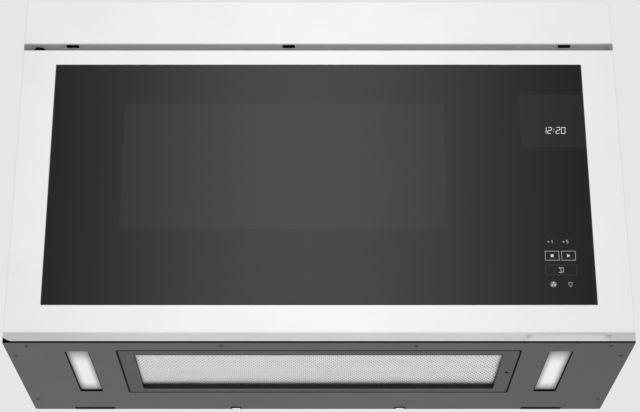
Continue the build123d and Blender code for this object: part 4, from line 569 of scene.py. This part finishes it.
filter_aluminium = rolled_metal("expanded_aluminium_foil", "#fcfcfd", "#ffffff", 0.42, grain_mm=1.5)
for layer, (shift_x, shift_y) in enumerate(layer_shifts):
    height = layer_foot + layer * layer_step
    sheet = expanded_sheet(height, shift_x * cell_width / 2, shift_y * cell_length / 2)
    name = f"filter_mesh_layer_{layer + 1}"
    replaced = ("filter_mesh",) if layer == 0 else ()
    add_piece(name, sheet, filter_aluminium, "grease_filter", "cast_light", *replaced)

# the front side of the frame's opening is rolled over the pad's edge: an oval bar along X
roll_half_width = 1.5 * MM
roll_half_height = 0.65 * MM
roll_sides = 16
roll_turn = np.linspace(0, 2 * math.pi, roll_sides, endpoint=False)
roll_x = np.array([[mesh_low.x + mesh_lap], [mesh_high.x - mesh_lap]])
roll_y = mesh_low.y + mesh_lap + 1.4 * MM + roll_half_width * np.cos(roll_turn)
roll_z = 0.05 * MM + roll_half_height * (1 + np.sin(roll_turn))
roll_points = np.stack(np.broadcast_arrays(roll_x, roll_y, roll_z), axis=-1)
roll_coat = coated_steel("coated_frame_rolled_edge", "#3c3c3c", "#404040", 1.6, 0.03, 0.56)
roll = (roll_points, tube_faces(2, roll_sides))
add_piece("filter_rolled_edge", roll, roll_coat, "grease_filter", "grey_paint")

# ------------------------------ cooktop lamps
# Each lamp is a frosted polycarbonate lens in a black gasket, lit from behind by a row of LEDs.
# The light falls off towards the lens's edges, most at its front end.
lens_corner = 3 * MM
lens_foot = 2.6 * MM
lens_lap = 3 * MM
gasket_foot = 0.05 * MM
gasket_reach = 3.05 * MM
gasket_wall = 0.9 * MM


def rounded_rectangle(half_x, half_y, corner, inset=0):
    """Points round a rectangle with arcs of six points at its corners, drawn in by an inset."""
    quarter = np.linspace(0, math.pi / 2, 6)
    turn = (np.arange(4)[:, None] * math.pi / 2 + quarter).ravel()
    radius = max(corner - inset, 0.05 * MM)
    sign_x = np.repeat([1, -1, -1, 1], len(quarter))
    sign_y = np.repeat([1, 1, -1, -1], len(quarter))
    x = sign_x * (half_x - inset - radius) + radius * np.cos(turn)
    y = sign_y * (half_y - inset - radius) + radius * np.sin(turn)
    return np.stack([x, y], axis=-1)


def carried_profile(half_x, half_y, corner, profile, ring=False):
    """A profile of (inset, height) pairs carried round a rounded rectangle. As a ring it closes
    on itself, and otherwise flat faces cap its first and last loops."""
    loops = np.array([rounded_rectangle(half_x, half_y, corner, inset) for inset, _ in profile])
    rows, columns = loops.shape[:2]
    heights = np.repeat([height for _, height in profile], columns)
    points = np.column_stack([loops.reshape(-1, 2), heights])
    if ring:
        return points, (grid_faces(rows + 1, columns, around=True) % (rows * columns)).tolist()
    return points, tube_faces(rows, columns)


def lit_lens(name, middle, half_width, half_length):
    """Frosted lens: the glow fades over 12 mm at the sides, 46 mm at the rear and 64 mm in front."""
    material, place = start_material(name)
    away = away_from(material, "X", middle[0])
    sides = fade(material, away, half_width + 1.5 * MM, half_width - 10.5 * MM)
    front_y = middle[1] - half_length
    rear_y = middle[1] + half_length
    front = fade(material, "Y", front_y - 8 * MM, front_y + 56 * MM)
    rear = fade(material, "Y", rear_y + 8 * MM, rear_y - 38 * MM)
    glow = both(material, both(material, front, rear), sides)
    light = add_node(material, "ValToRGB", stops=[(0.0, "#383838"), (1.0, "#e4e5e6")], Fac=glow)
    frost = add_node(material, "TexNoise", Vector=place, Scale=per_mm(0.7), Detail=2.0)
    lit = {"Emission_Color": light, "Emission_Strength": 0.85}
    return surface(material, linear("#6f7173"), frost, (0.45, 0.6), 0.3, 0.05, IOR=1.58, **lit)


rubber = moulded_plastic("rubber_moulded_black", "#030303", "#070707", 0.8, 1.2, gleam=0.12)
dress(rubber, "hinge_bushing")
# a rubber gasket lines each opening and holds the lens up behind the panel's face
gasket_back = gasket_reach + gasket_wall
gasket = [(gasket_reach, gasket_foot), (gasket_reach, lens_foot)]
gasket += [(gasket_back, lens_foot), (gasket_back, gasket_foot + 0.3 * MM)]
for side in ("left", "right"):
    lens_low, lens_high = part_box(f"lamp_lens_{side}")
    middle = ((lens_low.x + lens_high.x) / 2, (lens_low.y + lens_high.y) / 2)
    half_x = (lens_high.x - lens_low.x) / 2
    half_y = (lens_high.y - lens_low.y) / 2
    lens = [(0, lens_high.z), (0, lens_foot + 0.3 * MM), (0.4 * MM, lens_foot)]
    lens += [(4 * MM, lens_foot - 0.05 * MM), (9 * MM, lens_foot - 0.1 * MM)]
    frosted = f"polycarbonate_frosted_lit_{side}"
    add_piece(
        f"lamp_lens_frosted_{side}",
        carried_profile(half_x, half_y, lens_corner, lens),
        lit_lens(frosted, middle, half_x - lens_lap, half_y - lens_lap),
        "cabinet",
        "frosted_lens",
        f"lamp_lens_{side}",
        at=(*middle, 0),
    )
    round_lens = carried_profile(half_x, half_y, lens_corner + 2 * MM, gasket, ring=True)
    name = f"lamp_gasket_{side}"
    add_piece(name, round_lens, rubber, "cabinet", "black_plastic", at=(*middle, 0))

# ------------------------------ door frame and top trim
# The door's frame and the vent trim above it are folded from steel and enamelled gloss white, with
# a shallow, wide orange peel. The trim's lower flange, which shows only in the gap over the door,
# is painted grey, with painted light that makes it paler towards the rear and painted shade that
# makes it darker at its ends. Black clips stand in its three slots and also stand for the shade in them.
gloss_white = ("#efefef", "#f3f3f3", 4.0, 0.012, 0.34)
# a face counts as looking down where the Z of its normal is past these two values
downward = {"From_Min": -0.4, "From_Max": -0.6}
# painted shade: the frame's underside is painted greyer towards its two ends
underside_shade_x = (190 * MM, 340 * MM)
frame_enamel = coated_steel("enamelled_steel_white", *gloss_white)
from_middle = away_from(frame_enamel, "X", 0)
underside_shade_ends = fade(frame_enamel, from_middle, *underside_shade_x)
underside = add_node(frame_enamel, "MapRange", Value=normal_z(frame_enamel), **downward)
paint_where(frame_enamel, both(frame_enamel, underside, underside_shade_ends), "#dadada")
# painted light and shade in the finger pull: its inside is painted a little paler as painted light,
# and its two front corners greyer as painted shade
pull_middle_x = 296.4 * MM
pull_half = 49.5 * MM
pull_front_y = -306 * MM
pull_top_z = 12.6 * MM
from_pull = away_from(frame_enamel, "X", pull_middle_x)
across_pull = fade(frame_enamel, from_pull, pull_half + 0.3 * MM, pull_half)
behind_lip = fade(frame_enamel, "Y", pull_front_y - 0.2 * MM, pull_front_y + 0.2 * MM)
below_top = fade(frame_enamel, "Z", pull_top_z, pull_top_z - 0.3 * MM)
pull_painted_light = both(frame_enamel, both(frame_enamel, across_pull, behind_lip), below_top)
# painted light inside the pull
paint_where(frame_enamel, pull_painted_light, "#fcfcfc")
pull_end = fade(frame_enamel, from_pull, pull_half - 9 * MM, pull_half - 1 * MM)
pull_front = fade(frame_enamel, "Y", pull_front_y + 24 * MM, pull_front_y + 8 * MM)
pull_corner_shade = both(frame_enamel, both(frame_enamel, pull_end, pull_front), pull_painted_light)
# painted shade in the pull's two front corners
paint_where(frame_enamel, pull_corner_shade, "#b4b4b4")
dress(frame_enamel, "door_frame")

trim_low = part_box("top_trim")[0]
rear_light_y = (trim_low.y + 2 * MM, trim_low.y + 13 * MM)
shaded_x = (345 * MM, 376 * MM)
trim_enamel = coated_steel("enamelled_steel_white_grey_below", *gloss_white)
flange = add_node(trim_enamel, "MapRange", Value=normal_z(trim_enamel), **downward)
# the flange, whose faces look down, is painted grey
paint_where(trim_enamel, flange, "#b8b8b8")
# painted light: the flange is painted paler towards the rear
rear_painted_light = fade(trim_enamel, "Y", *rear_light_y)
paint_where(trim_enamel, both(trim_enamel, flange, rear_painted_light), "#e8e8e8")
# painted shade: the flange is painted darker towards the trim's two ends
from_middle = away_from(trim_enamel, "X", 0)
trim_end_shade = fade(trim_enamel, from_middle, *shaded_x)
paint_where(trim_enamel, both(trim_enamel, flange, trim_end_shade), "#a4a4a4")
dress(trim_enamel, "top_trim")

# each clip is a plug with a lip round its foot, given by inset and rise in mm over the flange
slot_half_width = 6.7 * MM
slot_half_depth = 2.7 * MM
slot_corner = 0.6 * MM
slot_y = trim_low.y + 5.3 * MM
slot_places_x = (-312 * MM, -37.6 * MM, 312 * MM)
clip = np.array([(0.2, 2.6), (0, 1.8), (0, 0.2), (-1.2, 0), (-1.2, -0.2), (-0.9, -0.3)]) * MM
clip = carried_profile(slot_half_width, slot_half_depth, slot_corner, clip)
# the black clips also stand for the shade in the slots, as painted shade
for number, slot_x in enumerate(slot_places_x, start=1):
    slot = (slot_x, slot_y, trim_low.z)
    add_piece(f"trim_clip_{number}", clip, rubber, "cabinet", "black_plastic", at=slot)

# ------------------------------ seals and edging
# Soft black extrusions: a seal round the cabinet's front under the door, edging round the grease
# filter's opening and over the wall hooks' slots, and foam pads in the two notches behind. They
# also stand for the shade in the gaps, slots and notches they fill, as painted shade.
front_face_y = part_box("front_plate")[0].y
wrap_low, wrap_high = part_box("outer_wrap")
# the seal is thinner on the hinge side, where the door's rear corner turns in
seal_face_y = front_face_y - np.array([0.8, 0.8, 1.6, 1.6]) * MM
seal_width = 9 * MM
seal_half = (wrap_high.x - wrap_low.x) / 2 - 0.4 * MM
seal_foot = 0.15 * MM
seal_top = 352 * MM
seal_run = np.array([(-1, seal_top), (-1, seal_foot), (1, seal_foot), (1, seal_top)])
seal_run = seal_run * (seal_half, 1)
seal_inward = np.array([(1, 0), (1, 1), (-1, 1), (-1, 0)])
# the seal's cross section, as shares of its width and of its thickness
seal_section = np.array([(0, 0), (0, 1), (0.12, 1), (0.5, 1.25), (0.88, 1), (1, 1), (1, 0)])


def carried_section(run, inward, width, face_y, foot_y):
    """A cross section carried along a run of corners in the XZ plane: at each corner it goes
    inward by its width and from the foot to the face by its thickness."""
    flat = run[:, None, :] + inward[:, None, :] * seal_section[None, :, :1] * width
    forward = foot_y + seal_section[None, :, 1] * (face_y[:, None] - foot_y)
    points = np.stack([flat[..., 0], forward, flat[..., 1]], axis=-1)
    return points.reshape(-1, 3), tube_faces(*flat.shape[:2])


seal_foot_y = front_face_y - 0.05 * MM
seal = carried_section(seal_run, seal_inward, seal_width, seal_face_y, seal_foot_y)
# the black seal also makes the gap under the door read black, as painted shade
add_piece("door_seal", seal, rubber, "cabinet", "black_plastic")

# edging round the grease filter's opening, given by inset and height in mm
frame_low, frame_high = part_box("filter_frame")
filter_middle = (0, (frame_low.y + frame_high.y) / 2, 0)
opening_half_x = frame_high.x + 1.2 * MM
opening_half_y = (frame_high.y - frame_low.y) / 2 + 1.2 * MM
opening_corner = 0.6 * MM
edging = [(-1.2, -0.15), (-1.2, -0.02), (0.05, -0.02), (0.05, 3.2), (0.65, 3.2), (0.65, -0.15)]
edging = np.array(edging) * MM
edging = carried_profile(opening_half_x, opening_half_y, opening_corner, edging, ring=True)
# the black edging also stands for the shade in the gap round the filter
name = "filter_opening_edging"
add_piece(name, edging, rubber, "cabinet", "black_plastic", at=filter_middle)

# edging over each wall hook's slot: a flat U of rubber that runs round the slot's three edges
hook_x = 109.8 * MM
hook_half = 6.75 * MM
hook_rear = -0.2 * MM
hook_front = -6.0 * MM
hook_run = np.array([(-1, hook_rear), (-1, hook_front), (1, hook_front), (1, hook_rear)])
hook_run = hook_run * (hook_half, 1)
hook_outward = np.array([(-1, 0), (-1, -1), (1, -1), (1, 0)])
# the four corners of its cross section: how far out along X and along Y, and how high
hook_reach = np.array([(-1.6, -1.2), (0.3, 4.0), (0.3, 4.0), (-1.6, -1.2)]) * MM
hook_flat = hook_run[:, None, :] + hook_outward[:, None, :] * hook_reach
hook_heights = np.broadcast_to(np.array([-0.35, -0.35, 0, 0]) * MM, hook_flat.shape[:2])
hook_edging = (np.dstack([hook_flat, hook_heights]), tube_faces(*hook_heights.shape))
# a pad of foam in each notch behind, with a lip glued over the panel, by inset and height in mm
notch_x = 299 * MM
notch_half = 26.6 * MM
pad_half_depth = 2.85 * MM
lip_half_depth = 4.2 * MM
pad = np.array([(0.4, 0.1), (0, 0.5), (0, 9), (0.4, 9.5)]) * MM
pad_points, pad_faces = carried_profile(notch_half, pad_half_depth, 0.8 * MM, pad)
lip = np.array([(0.3, -0.35), (0, -0.25), (0, -0.02)]) * MM
lip_points, lip_faces = carried_profile(notch_half + 0.3 * MM, lip_half_depth, 1.2 * MM, lip)
pad_points = pad_points - (0, pad_half_depth + 0.1 * MM, 0)
lip_points = lip_points - (0, lip_half_depth + 0.05 * MM, 0)
foam = together([(pad_points, pad_faces), (lip_points, lip_faces)])
# the black edging and foam also stand for the shade in the hooks' slots and the notches
for side, name in ((-1, "left"), (1, "right")):
    edging_name, foam_name = f"hook_slot_edging_{name}", f"notch_foam_{name}"
    hook, notch = (side * hook_x, 0, 0), (side * notch_x, 0, 0)
    add_piece(edging_name, hook_edging, rubber, "cabinet", "black_plastic", at=hook)
    add_piece(foam_name, foam, rubber, "cabinet", "black_plastic", at=notch)

# a spring catch in the filter frame's right side, given by inset and height in mm
catch_radius = 2.4 * MM
catch_place = (237 * MM, -160 * MM, 0)
catch = np.array([(0, 0.4), (0, -0.35), (0.5, -0.6), (1.4, -0.6), (1.6, -0.1)]) * MM
catch = carried_profile(catch_radius, catch_radius, catch_radius, catch)
add_piece("filter_catch", catch, rubber, "grease_filter", "black_plastic", at=catch_place)

# ------------------------------ inside of the door
# A black enamelled choke panel carries a finely perforated steel screen and a clear inner pane,
# and a black rear sheet closes the door beside it.

# gloss black enamel, with a fine peel and a little dust grey in its clouds
black_coat = coated_steel("enamelled_steel_black", "#141415", "#1b1b1c", 2.5, 0.02, 0.30)
dress(black_coat, "door_back", "choke_frame")

screen_low, screen_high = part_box("door_screen")
hole_pitch = 3.6 * MM
hole_share = 0.55


def perforated_sheet(low, high):
    """A sheet with square holes in rows: lines at each hole's edges make a grid on both faces,
    the grid's quads over the holes are left out, and walls join the two faces round each hole."""
    count_x = int((high.x - low.x) / hole_pitch)
    count_z = int((high.z - low.z) / hole_pitch)

    def lines(start, end, count):
        """The two ends and, between them, both edges of each hole."""
        pitch = (end - start) / count
        middles = start + pitch * (np.arange(count)[:, None] + 0.5)
        edges = middles + np.array([-0.5, 0.5]) * hole_share * pitch
        return np.concatenate([[start], edges.ravel(), [end]])

    x = lines(low.x, high.x, count_x)
    z = lines(low.z, high.z, count_z)
    rows, columns = len(z), len(x)
    grid_x, grid_z = np.meshgrid(x, z)
    front = np.stack([grid_x, np.full_like(grid_x, low.y), grid_z], axis=-1).reshape(-1, 3)
    back = front + np.array([0, high.y - low.y, 0])
    quads = grid_faces(rows, columns).reshape(rows - 1, columns - 1, 4)
    row_is_hole = np.arange(rows - 1)[:, None] % 2 == 1
    column_is_hole = np.arange(columns - 1)[None, :] % 2 == 1
    hole = row_is_hole & column_is_hole
    solid, holes = quads[~hole], quads[hole]
    behind = rows * columns
    walls = []
    for start in range(4):
        a, b = holes[:, start], holes[:, (start + 1) % 4]
        walls.append(np.stack([a, b, b + behind, a + behind], axis=-1))
    faces = np.concatenate([solid, solid[:, ::-1] + behind, *walls])
    return np.concatenate([front, back]), faces


screen = perforated_sheet(screen_low, screen_high)
add_piece("door_screen_perforated", screen, black_coat, "door", "black_window", "door_screen")


def clear_pane():
    """Clear tempered glass with a trace of green and faint rolling waves."""
    material, place = start_material("tempered_glass_clear")
    waves = add_node(material, "TexNoise", Vector=place, Scale=per_mm(60), Detail=1.0)
    tint = add_node(material, "ValToRGB", stops=[(0.3, "#e6efe9"), (0.7, "#eef4f0")], Fac=waves)
    clear = {"Transmission_Weight": 0.9}
    return surface(material, tint, waves, (0.02, 0.06), 0.1, 0.02, IOR=1.5, **clear)


dress(clear_pane(), "inner_window")

# ------------------------------ door glass
# One pane of tempered glass, 4 mm thick with ground edges. Its rear is printed black, thinner in
# the window's area and clear over the display, which shows only as a slight change in the black.
glass_low, glass_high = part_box("door_glass")
glass_recess = 0.1 * MM
edge_grind = 0.8 * MM
window_low, window_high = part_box("inner_window")
display_spot = ((250 * MM, 242 * MM), (330.5 * MM, 315 * MM))


def black_glass():
    """Black printed glass: masks lift the black a little over the window and the display, and
    the gloss carries faint tempering waves."""
    material, place = start_material("tempered_glass_printed_black")

    def inside(axis, low, high):
        """1 between two planes across an axis and 0 outside, with an edge 0.8 mm soft."""
        rise = fade(material, axis, low - 0.4 * MM, low + 0.4 * MM)
        fall = fade(material, axis, high + 0.4 * MM, high - 0.4 * MM)
        return both(material, rise, fall)

    def area(low, high):
        """The product of the masks across X and Z."""
        return both(material, inside("X", low[0], high[0]), inside("Z", low[1], high[1]))

    window = area((window_low.x, window_low.z), (window_high.x, window_high.z))
    display = area(*display_spot)
    lifted = add_node(material, "Math", {"operation": "MAXIMUM"}, _0=window, _1=display)
    black, lifted_black = linear("#1c1c1c"), linear("#262626")
    shades = add_node(material, "MixRGB", Fac=lifted, Color1=black, Color2=lifted_black)
    waves = add_node(material, "TexNoise", Vector=place, Scale=per_mm(90), Detail=1.0)
    return surface(material, shades, waves, (0.05, 0.09), 0.05, 0.02, IOR=1.5)


glass_half_x = (glass_high.x - glass_low.x) / 2
glass_half_z = (glass_high.z - glass_low.z) / 2
glass_middle_z = (glass_high.z + glass_low.z) / 2
glass_corner = 1.2 * MM
glass_face = glass_low.y + glass_recess
pane = [(0, glass_high.y), (0, glass_face + edge_grind), (0.25 * MM, glass_face + 0.3 * MM)]
pane.append((edge_grind, glass_face))
points, faces = carried_profile(glass_half_x, glass_half_z, glass_corner, pane)
# the profile was carried round X and Y, and is stood up here to X and Z
pane = (points[:, (0, 2, 1)] + (0, 0, glass_middle_z), faces)
printed = black_glass()
add_piece("door_glass_pane", pane, printed, "door", "dark_glass", "door_glass", sharp=20)

# ------------------------------ clock digits and key symbols
# The clock shows through the glass as seven-segment digits. The touch keys are printed on the
# glass in white: plain numbers, a stop square, a start triangle, an open door, a fan and a lamp.
print_y = glass_low.y + 0.02 * MM
print_sheet = 0.07 * MM


def glowing_white(name, strength, shade, light_shade):
    """White ink or light: an even white with the faint unevenness of its print dots."""
    material, place = start_material(name)
    dots = add_node(material, "TexNoise", Vector=place, Scale=per_mm(0.5), Detail=1.0)
    shades = add_node(material, "ValToRGB", stops=[(0.3, shade), (0.7, light_shade)], Fac=dots)
    glow = {"Emission_Color": shades, "Emission_Strength": strength}
    return surface(material, shades, dots, (0.4, 0.6), 0.2, 0.01, **glow)


# the outlines and paths below are in mm, across and up the door's face


def flat_shape(outline):
    """A thin plate with that outline, on the glass's face."""
    outline = np.array(outline) * MM
    front = np.insert(outline, 1, print_y, axis=1)
    back = front + (0, print_sheet, 0)
    return np.concatenate([front, back]), tube_faces(2, len(outline))


def line_shape(path, width, closed=True):
    """A line of constant width along a path: each point is moved both ways along the mitre of
    the two runs that meet there."""
    path = np.array(path, float)
    before = path - np.roll(path, 1, axis=0)
    after = np.roll(path, -1, axis=0) - path
    if not closed:
        before[0], after[-1] = after[0], before[-1]
    before /= np.linalg.norm(before, axis=1, keepdims=True)
    after /= np.linalg.norm(after, axis=1, keepdims=True)
    mitre = before + after
    mitre /= np.linalg.norm(mitre, axis=1, keepdims=True)
    reach = width / 2 / np.sum(mitre * after, axis=1, keepdims=True)
    normal = np.stack([-mitre[:, 1], mitre[:, 0]], axis=-1) * reach
    section = np.array([[1, 0], [-1, 0], [-1, 1], [1, 1]])
    flat = path[:, None, :] + normal[:, None, :] * section[None, :, :1]
    depth = np.broadcast_to(section[:, 1] * print_sheet, flat.shape[:2])
    points = np.stack([flat[..., 0] * MM, print_y + depth, flat[..., 1] * MM], axis=-1)
    rows = len(path)
    if closed:
        faces = (grid_faces(rows + 1, 4, around=True) % (rows * 4)).tolist()
    else:
        faces = tube_faces(rows, 4)
    return points.reshape(-1, 3), faces


def box_path(x_low, x_high, z_low, z_high):
    """The four corners of an upright box."""
    return [(x_low, z_low), (x_high, z_low), (x_high, z_high), (x_low, z_high)]


def arc_path(x, z, radius, start=0, end=330, count=12):
    """Points round x, z at a radius, from one angle in degrees to another. Left out, the last
    three give the twelve points of a full circle."""
    turn = np.radians(np.linspace(start, end, count))
    return np.stack([x + radius * np.cos(turn), z + radius * np.sin(turn)], axis=-1)


# seven-segment digits lean to the right about the height of slant_z
digit_width = 4.4
digit_height = 8.4
digit_foot = 260.9
digit_places = (("1", 277.6), ("2", 284.0), ("2", 294.4), ("0", 301.0))
colon_x = 291.4
colon_rows = (263.2, 267.0)
colon_radius = 0.5
segment_width = 0.58
segment_fill = 0.96
point_steepness = 0.85
segments_lit = {"0": "abcdef", "1": "bc", "2": "abged"}
slant = 0.09
slant_z = 264.8


def segment_outline(x, z, length, upright):
    """A bar with pointed ends, centred at x, z, leaning with the digits."""
    half, point = length / 2, segment_width / 2
    along = np.array([-half, -half + point, half - point, half, half - point, -half + point])
    across = np.array([0, point, point, 0, -point, -point]) * point_steepness
    flat = np.stack([across, along] if upright else [along, across], axis=-1) + (x, z)
    return flat + np.stack([(flat[:, 1] - slant_z) * slant, np.zeros(len(flat))], axis=-1)


def digit(character, x, z):
    """The segments of one digit, whose lower left corner is at x, z."""
    w, h = digit_width, digit_height
    spots = {
        "a": (x + w / 2, z + h, w, False),
        "g": (x + w / 2, z + h / 2, w, False),
        "d": (x + w / 2, z, w, False),
        "f": (x, z + 0.75 * h, h / 2, True),
        "b": (x + w, z + 0.75 * h, h / 2, True),
        "e": (x, z + 0.25 * h, h / 2, True),
        "c": (x + w, z + 0.25 * h, h / 2, True),
    }
    lit = [spots[name] for name in segments_lit[character]]
    outlines = [segment_outline(x, z, length * segment_fill, tall) for x, z, length, tall in lit]
    return [flat_shape(outline) for outline in outlines]


clock = []
for character, x in digit_places:
    clock += digit(character, x, digit_foot)
for z in colon_rows:
    clock.append(flat_shape(arc_path(colon_x + (z - slant_z) * slant, z, colon_radius)))
clock_light = glowing_white("clock_segments_lit", 0.5, "#dce2e6", "#f4f6f8")
add_piece("clock_digits", together(clock), clock_light, "door", "white_plastic")

# key symbols, drawn bolder than the real hairlines so that they show
hair = 0.45
fine_hair = 0.4
faint_hair = 0.35
key_z = (92.3, 104.0)
symbols = [
    line_shape(box_path(271.8, 288.3, *key_z), fine_hair),
    line_shape(box_path(291.6, 308.1, *key_z), fine_hair),
    flat_shape(box_path(278.3, 281.9, 96.4, 100.0)),
    flat_shape([(298.0, 95.9), (302.2, 98.2), (298.0, 100.5)]),
]
# an open door: its frame and the leaf swung out
symbols += [
    line_shape([(286.6, 82.6), (286.6, 77.0), (292.6, 77.0), (292.6, 82.6)], hair),
    line_shape([(286.6, 82.6), (289.6, 81.2), (289.6, 75.8), (286.6, 77.0)], hair),
]
# a fan of three blades in a ring, and a lamp bulb with the two lines of its base
fan_x = 279.8
lamp_x = 299.9
icon_z = 61.4
ring_radius = 3.2
blade_reach = 1.6
blade_radius = 1.1
bulb_radius = 2.1
for blade_x, blade_z in arc_path(fan_x, icon_z, blade_reach, 90, 330, 3):
    symbols.append(flat_shape(arc_path(blade_x, blade_z, blade_radius)))
symbols.append(line_shape(arc_path(fan_x, icon_z, ring_radius, 0, 345, 24), fine_hair))
open_lines = [arc_path(lamp_x, icon_z + 0.7, bulb_radius, -60, 240, 18)]
for half, drop in ((1.0, 2.0), (0.8, 3.0)):
    open_lines.append([(lamp_x - half, icon_z - drop), (lamp_x + half, icon_z - drop)])
# plus one and plus five
for x in (276.4, 294.6):
    open_lines.append([(x - 1.3, 116.2), (x + 1.3, 116.2)])
    open_lines.append([(x, 114.9), (x, 117.5)])
open_lines.append([(280.2, 117.4), (281.2, 118.2), (281.2, 114.2)])
five = [(300.6, 118.2), (298.4, 118.2), (298.2, 116.4), (299.6, 116.6), (300.6, 115.6)]
open_lines.append(five + [(299.8, 114.4), (298.2, 114.4)])
symbols += [line_shape(line, hair, closed=False) for line in open_lines]
key_ink = glowing_white("ceramic_ink_white", 0.0, "#c4c6c8", "#d8dadc")
add_piece("key_symbols", together(symbols), key_ink, "door", "white_plastic")
# the key round the open door is only outlined, and fainter
outline = line_shape(box_path(270.9, 308.4, 73.4, 86.2), faint_hair)
faint_ink = glowing_white("ceramic_ink_faint", 0.0, "#3a3b3c", "#464748")
add_piece("key_outline", outline, faint_ink, "door", "white_plastic")

# ------------------------------ floor, light and camera
# A pale floor lies well below, about where a cooktop would be. A graded soft panel in front gives
# the enamel its even light and the black glass its soft bright middle.
floor_z = -1.3
bpy.ops.mesh.primitive_plane_add(size=14, location=(0, 0, floor_z))
floor = bpy.context.object
floor.name = "floor"
floor_finish, place = start_material("studio_floor_pale")
mottle = add_node(floor_finish, "TexNoise", Vector=place, Scale=per_mm(400), Detail=2.0)
floor_stops = [(0.3, "#e0e0df"), (0.7, "#e4e4e3")]
floor_shade = add_node(floor_finish, "ValToRGB", stops=floor_stops, Fac=mottle)
floor_shader = feed(shader_of(floor_finish), Base_Color=floor_shade, Roughness=0.8)
floor.data.materials.append(floor_finish)

# in gloss the floor shows a little paler than the background behind it
floor_ray = add_node(floor_finish, "LightPath").outputs["Is Glossy Ray"]
floor_glow = add_node(floor_finish, "Emission", Color=linear("#f2f2f2"))
floor_mix = add_node(floor_finish, "MixShader", Fac=floor_ray, _1=floor_shader, _2=floor_glow)
# and it hides nothing from an eye below it
floor_below = add_node(floor_finish, "NewGeometry").outputs["Backfacing"]
floor_clear = add_node(floor_finish, "BsdfTransparent")
floor_seen = add_node(floor_finish, "MixShader", Fac=floor_below, _1=floor_mix, _2=floor_clear)
feed(floor_finish.node_tree.nodes["Material Output"], Surface=floor_seen)

# the world lights diffusely at one level and shows the pale background to the eye and in gloss
ambient = (0.84, 0.84, 0.84, 1)
background_shade = linear("#e6e6e6")
world = bpy.data.worlds.new("studio")
bpy.context.scene.world = world
world.use_nodes = True
world.node_tree.nodes.clear()
ray = add_node(world, "LightPath")
glossy, passing = ray.outputs["Is Glossy Ray"], ray.outputs["Is Transmission Ray"]
shiny = add_node(world, "Math", {"operation": "MAXIMUM"}, _0=glossy, _1=passing)
seen = add_node(world, "Math", {"operation": "MAXIMUM"}, _0=ray.outputs["Is Camera Ray"], _1=shiny)
lighting = add_node(world, "Background", Color=ambient)
shown = add_node(world, "Background", Color=background_shade)
chosen = add_node(world, "MixShader", Fac=seen, _1=lighting, _2=shown)
add_node(world, "OutputWorld", Surface=chosen)

# the panel's light is a bell curve over X, brightest in front of the camera
panel_y = -1.25
panel_half_width = 0.95
panel_z = (0.05, 1.25)
panel_middle_x = -0.012
panel_spread = 0.375
panel_peak = 1.43
panel_mesh = bpy.data.meshes.new("soft_panel")
panel_mesh.from_pydata(
    [(x, panel_y, z) for x, z in box_path(-panel_half_width, panel_half_width, *panel_z)],
    [],
    [(0, 3, 2, 1)],
)
panel = bpy.data.objects.new("soft_panel", panel_mesh)
bpy.context.scene.collection.objects.link(panel)
panel.visible_camera = False
panel.visible_diffuse = False
panel_finish = bpy.data.materials.new("soft_panel_graded")
panel_finish.use_nodes = True
panel_finish.node_tree.nodes.clear()
off = away_from(panel_finish, "X", panel_middle_x)
squared = both(panel_finish, off, off)
fall = both(panel_finish, squared, -1 / panel_spread**2)
bell = add_node(panel_finish, "Math", {"operation": "EXPONENT"}, _0=fall)
panel_light = add_node(panel_finish, "Emission", Strength=both(panel_finish, bell, panel_peak))
add_node(panel_finish, "OutputMaterial", Surface=panel_light)
panel_mesh.materials.append(panel_finish)

# a small soft lamp in front lifts the middle of the face
key_data = bpy.data.lights.new("key", "AREA")
key_data.shape = "RECTANGLE"
key_data.size = 0.3
key_data.size_y = 0.7
key_data.energy = 1.38
key = bpy.data.objects.new("key", key_data)
key.location = (0, -0.97, 0.19)
key.rotation_euler = (math.radians(90), 0, 0)
key.visible_glossy = False
key.visible_camera = False
bpy.context.scene.collection.objects.link(key)

camera_data = bpy.data.cameras.new("camera")
camera_data.sensor_width = 36
camera_data.lens = 96.27
camera_data.shift_x = 0.0170
camera_data.clip_end = 50
camera = bpy.data.objects.new("camera", camera_data)
camera.location = (-0.01185, -2.22407, -0.65929)
camera.rotation_euler = (math.radians(90 + 23.273), 0, 0)
bpy.context.scene.collection.objects.link(camera)
bpy.context.scene.camera = camera
bpy.context.scene.view_settings.view_transform = "Standard"
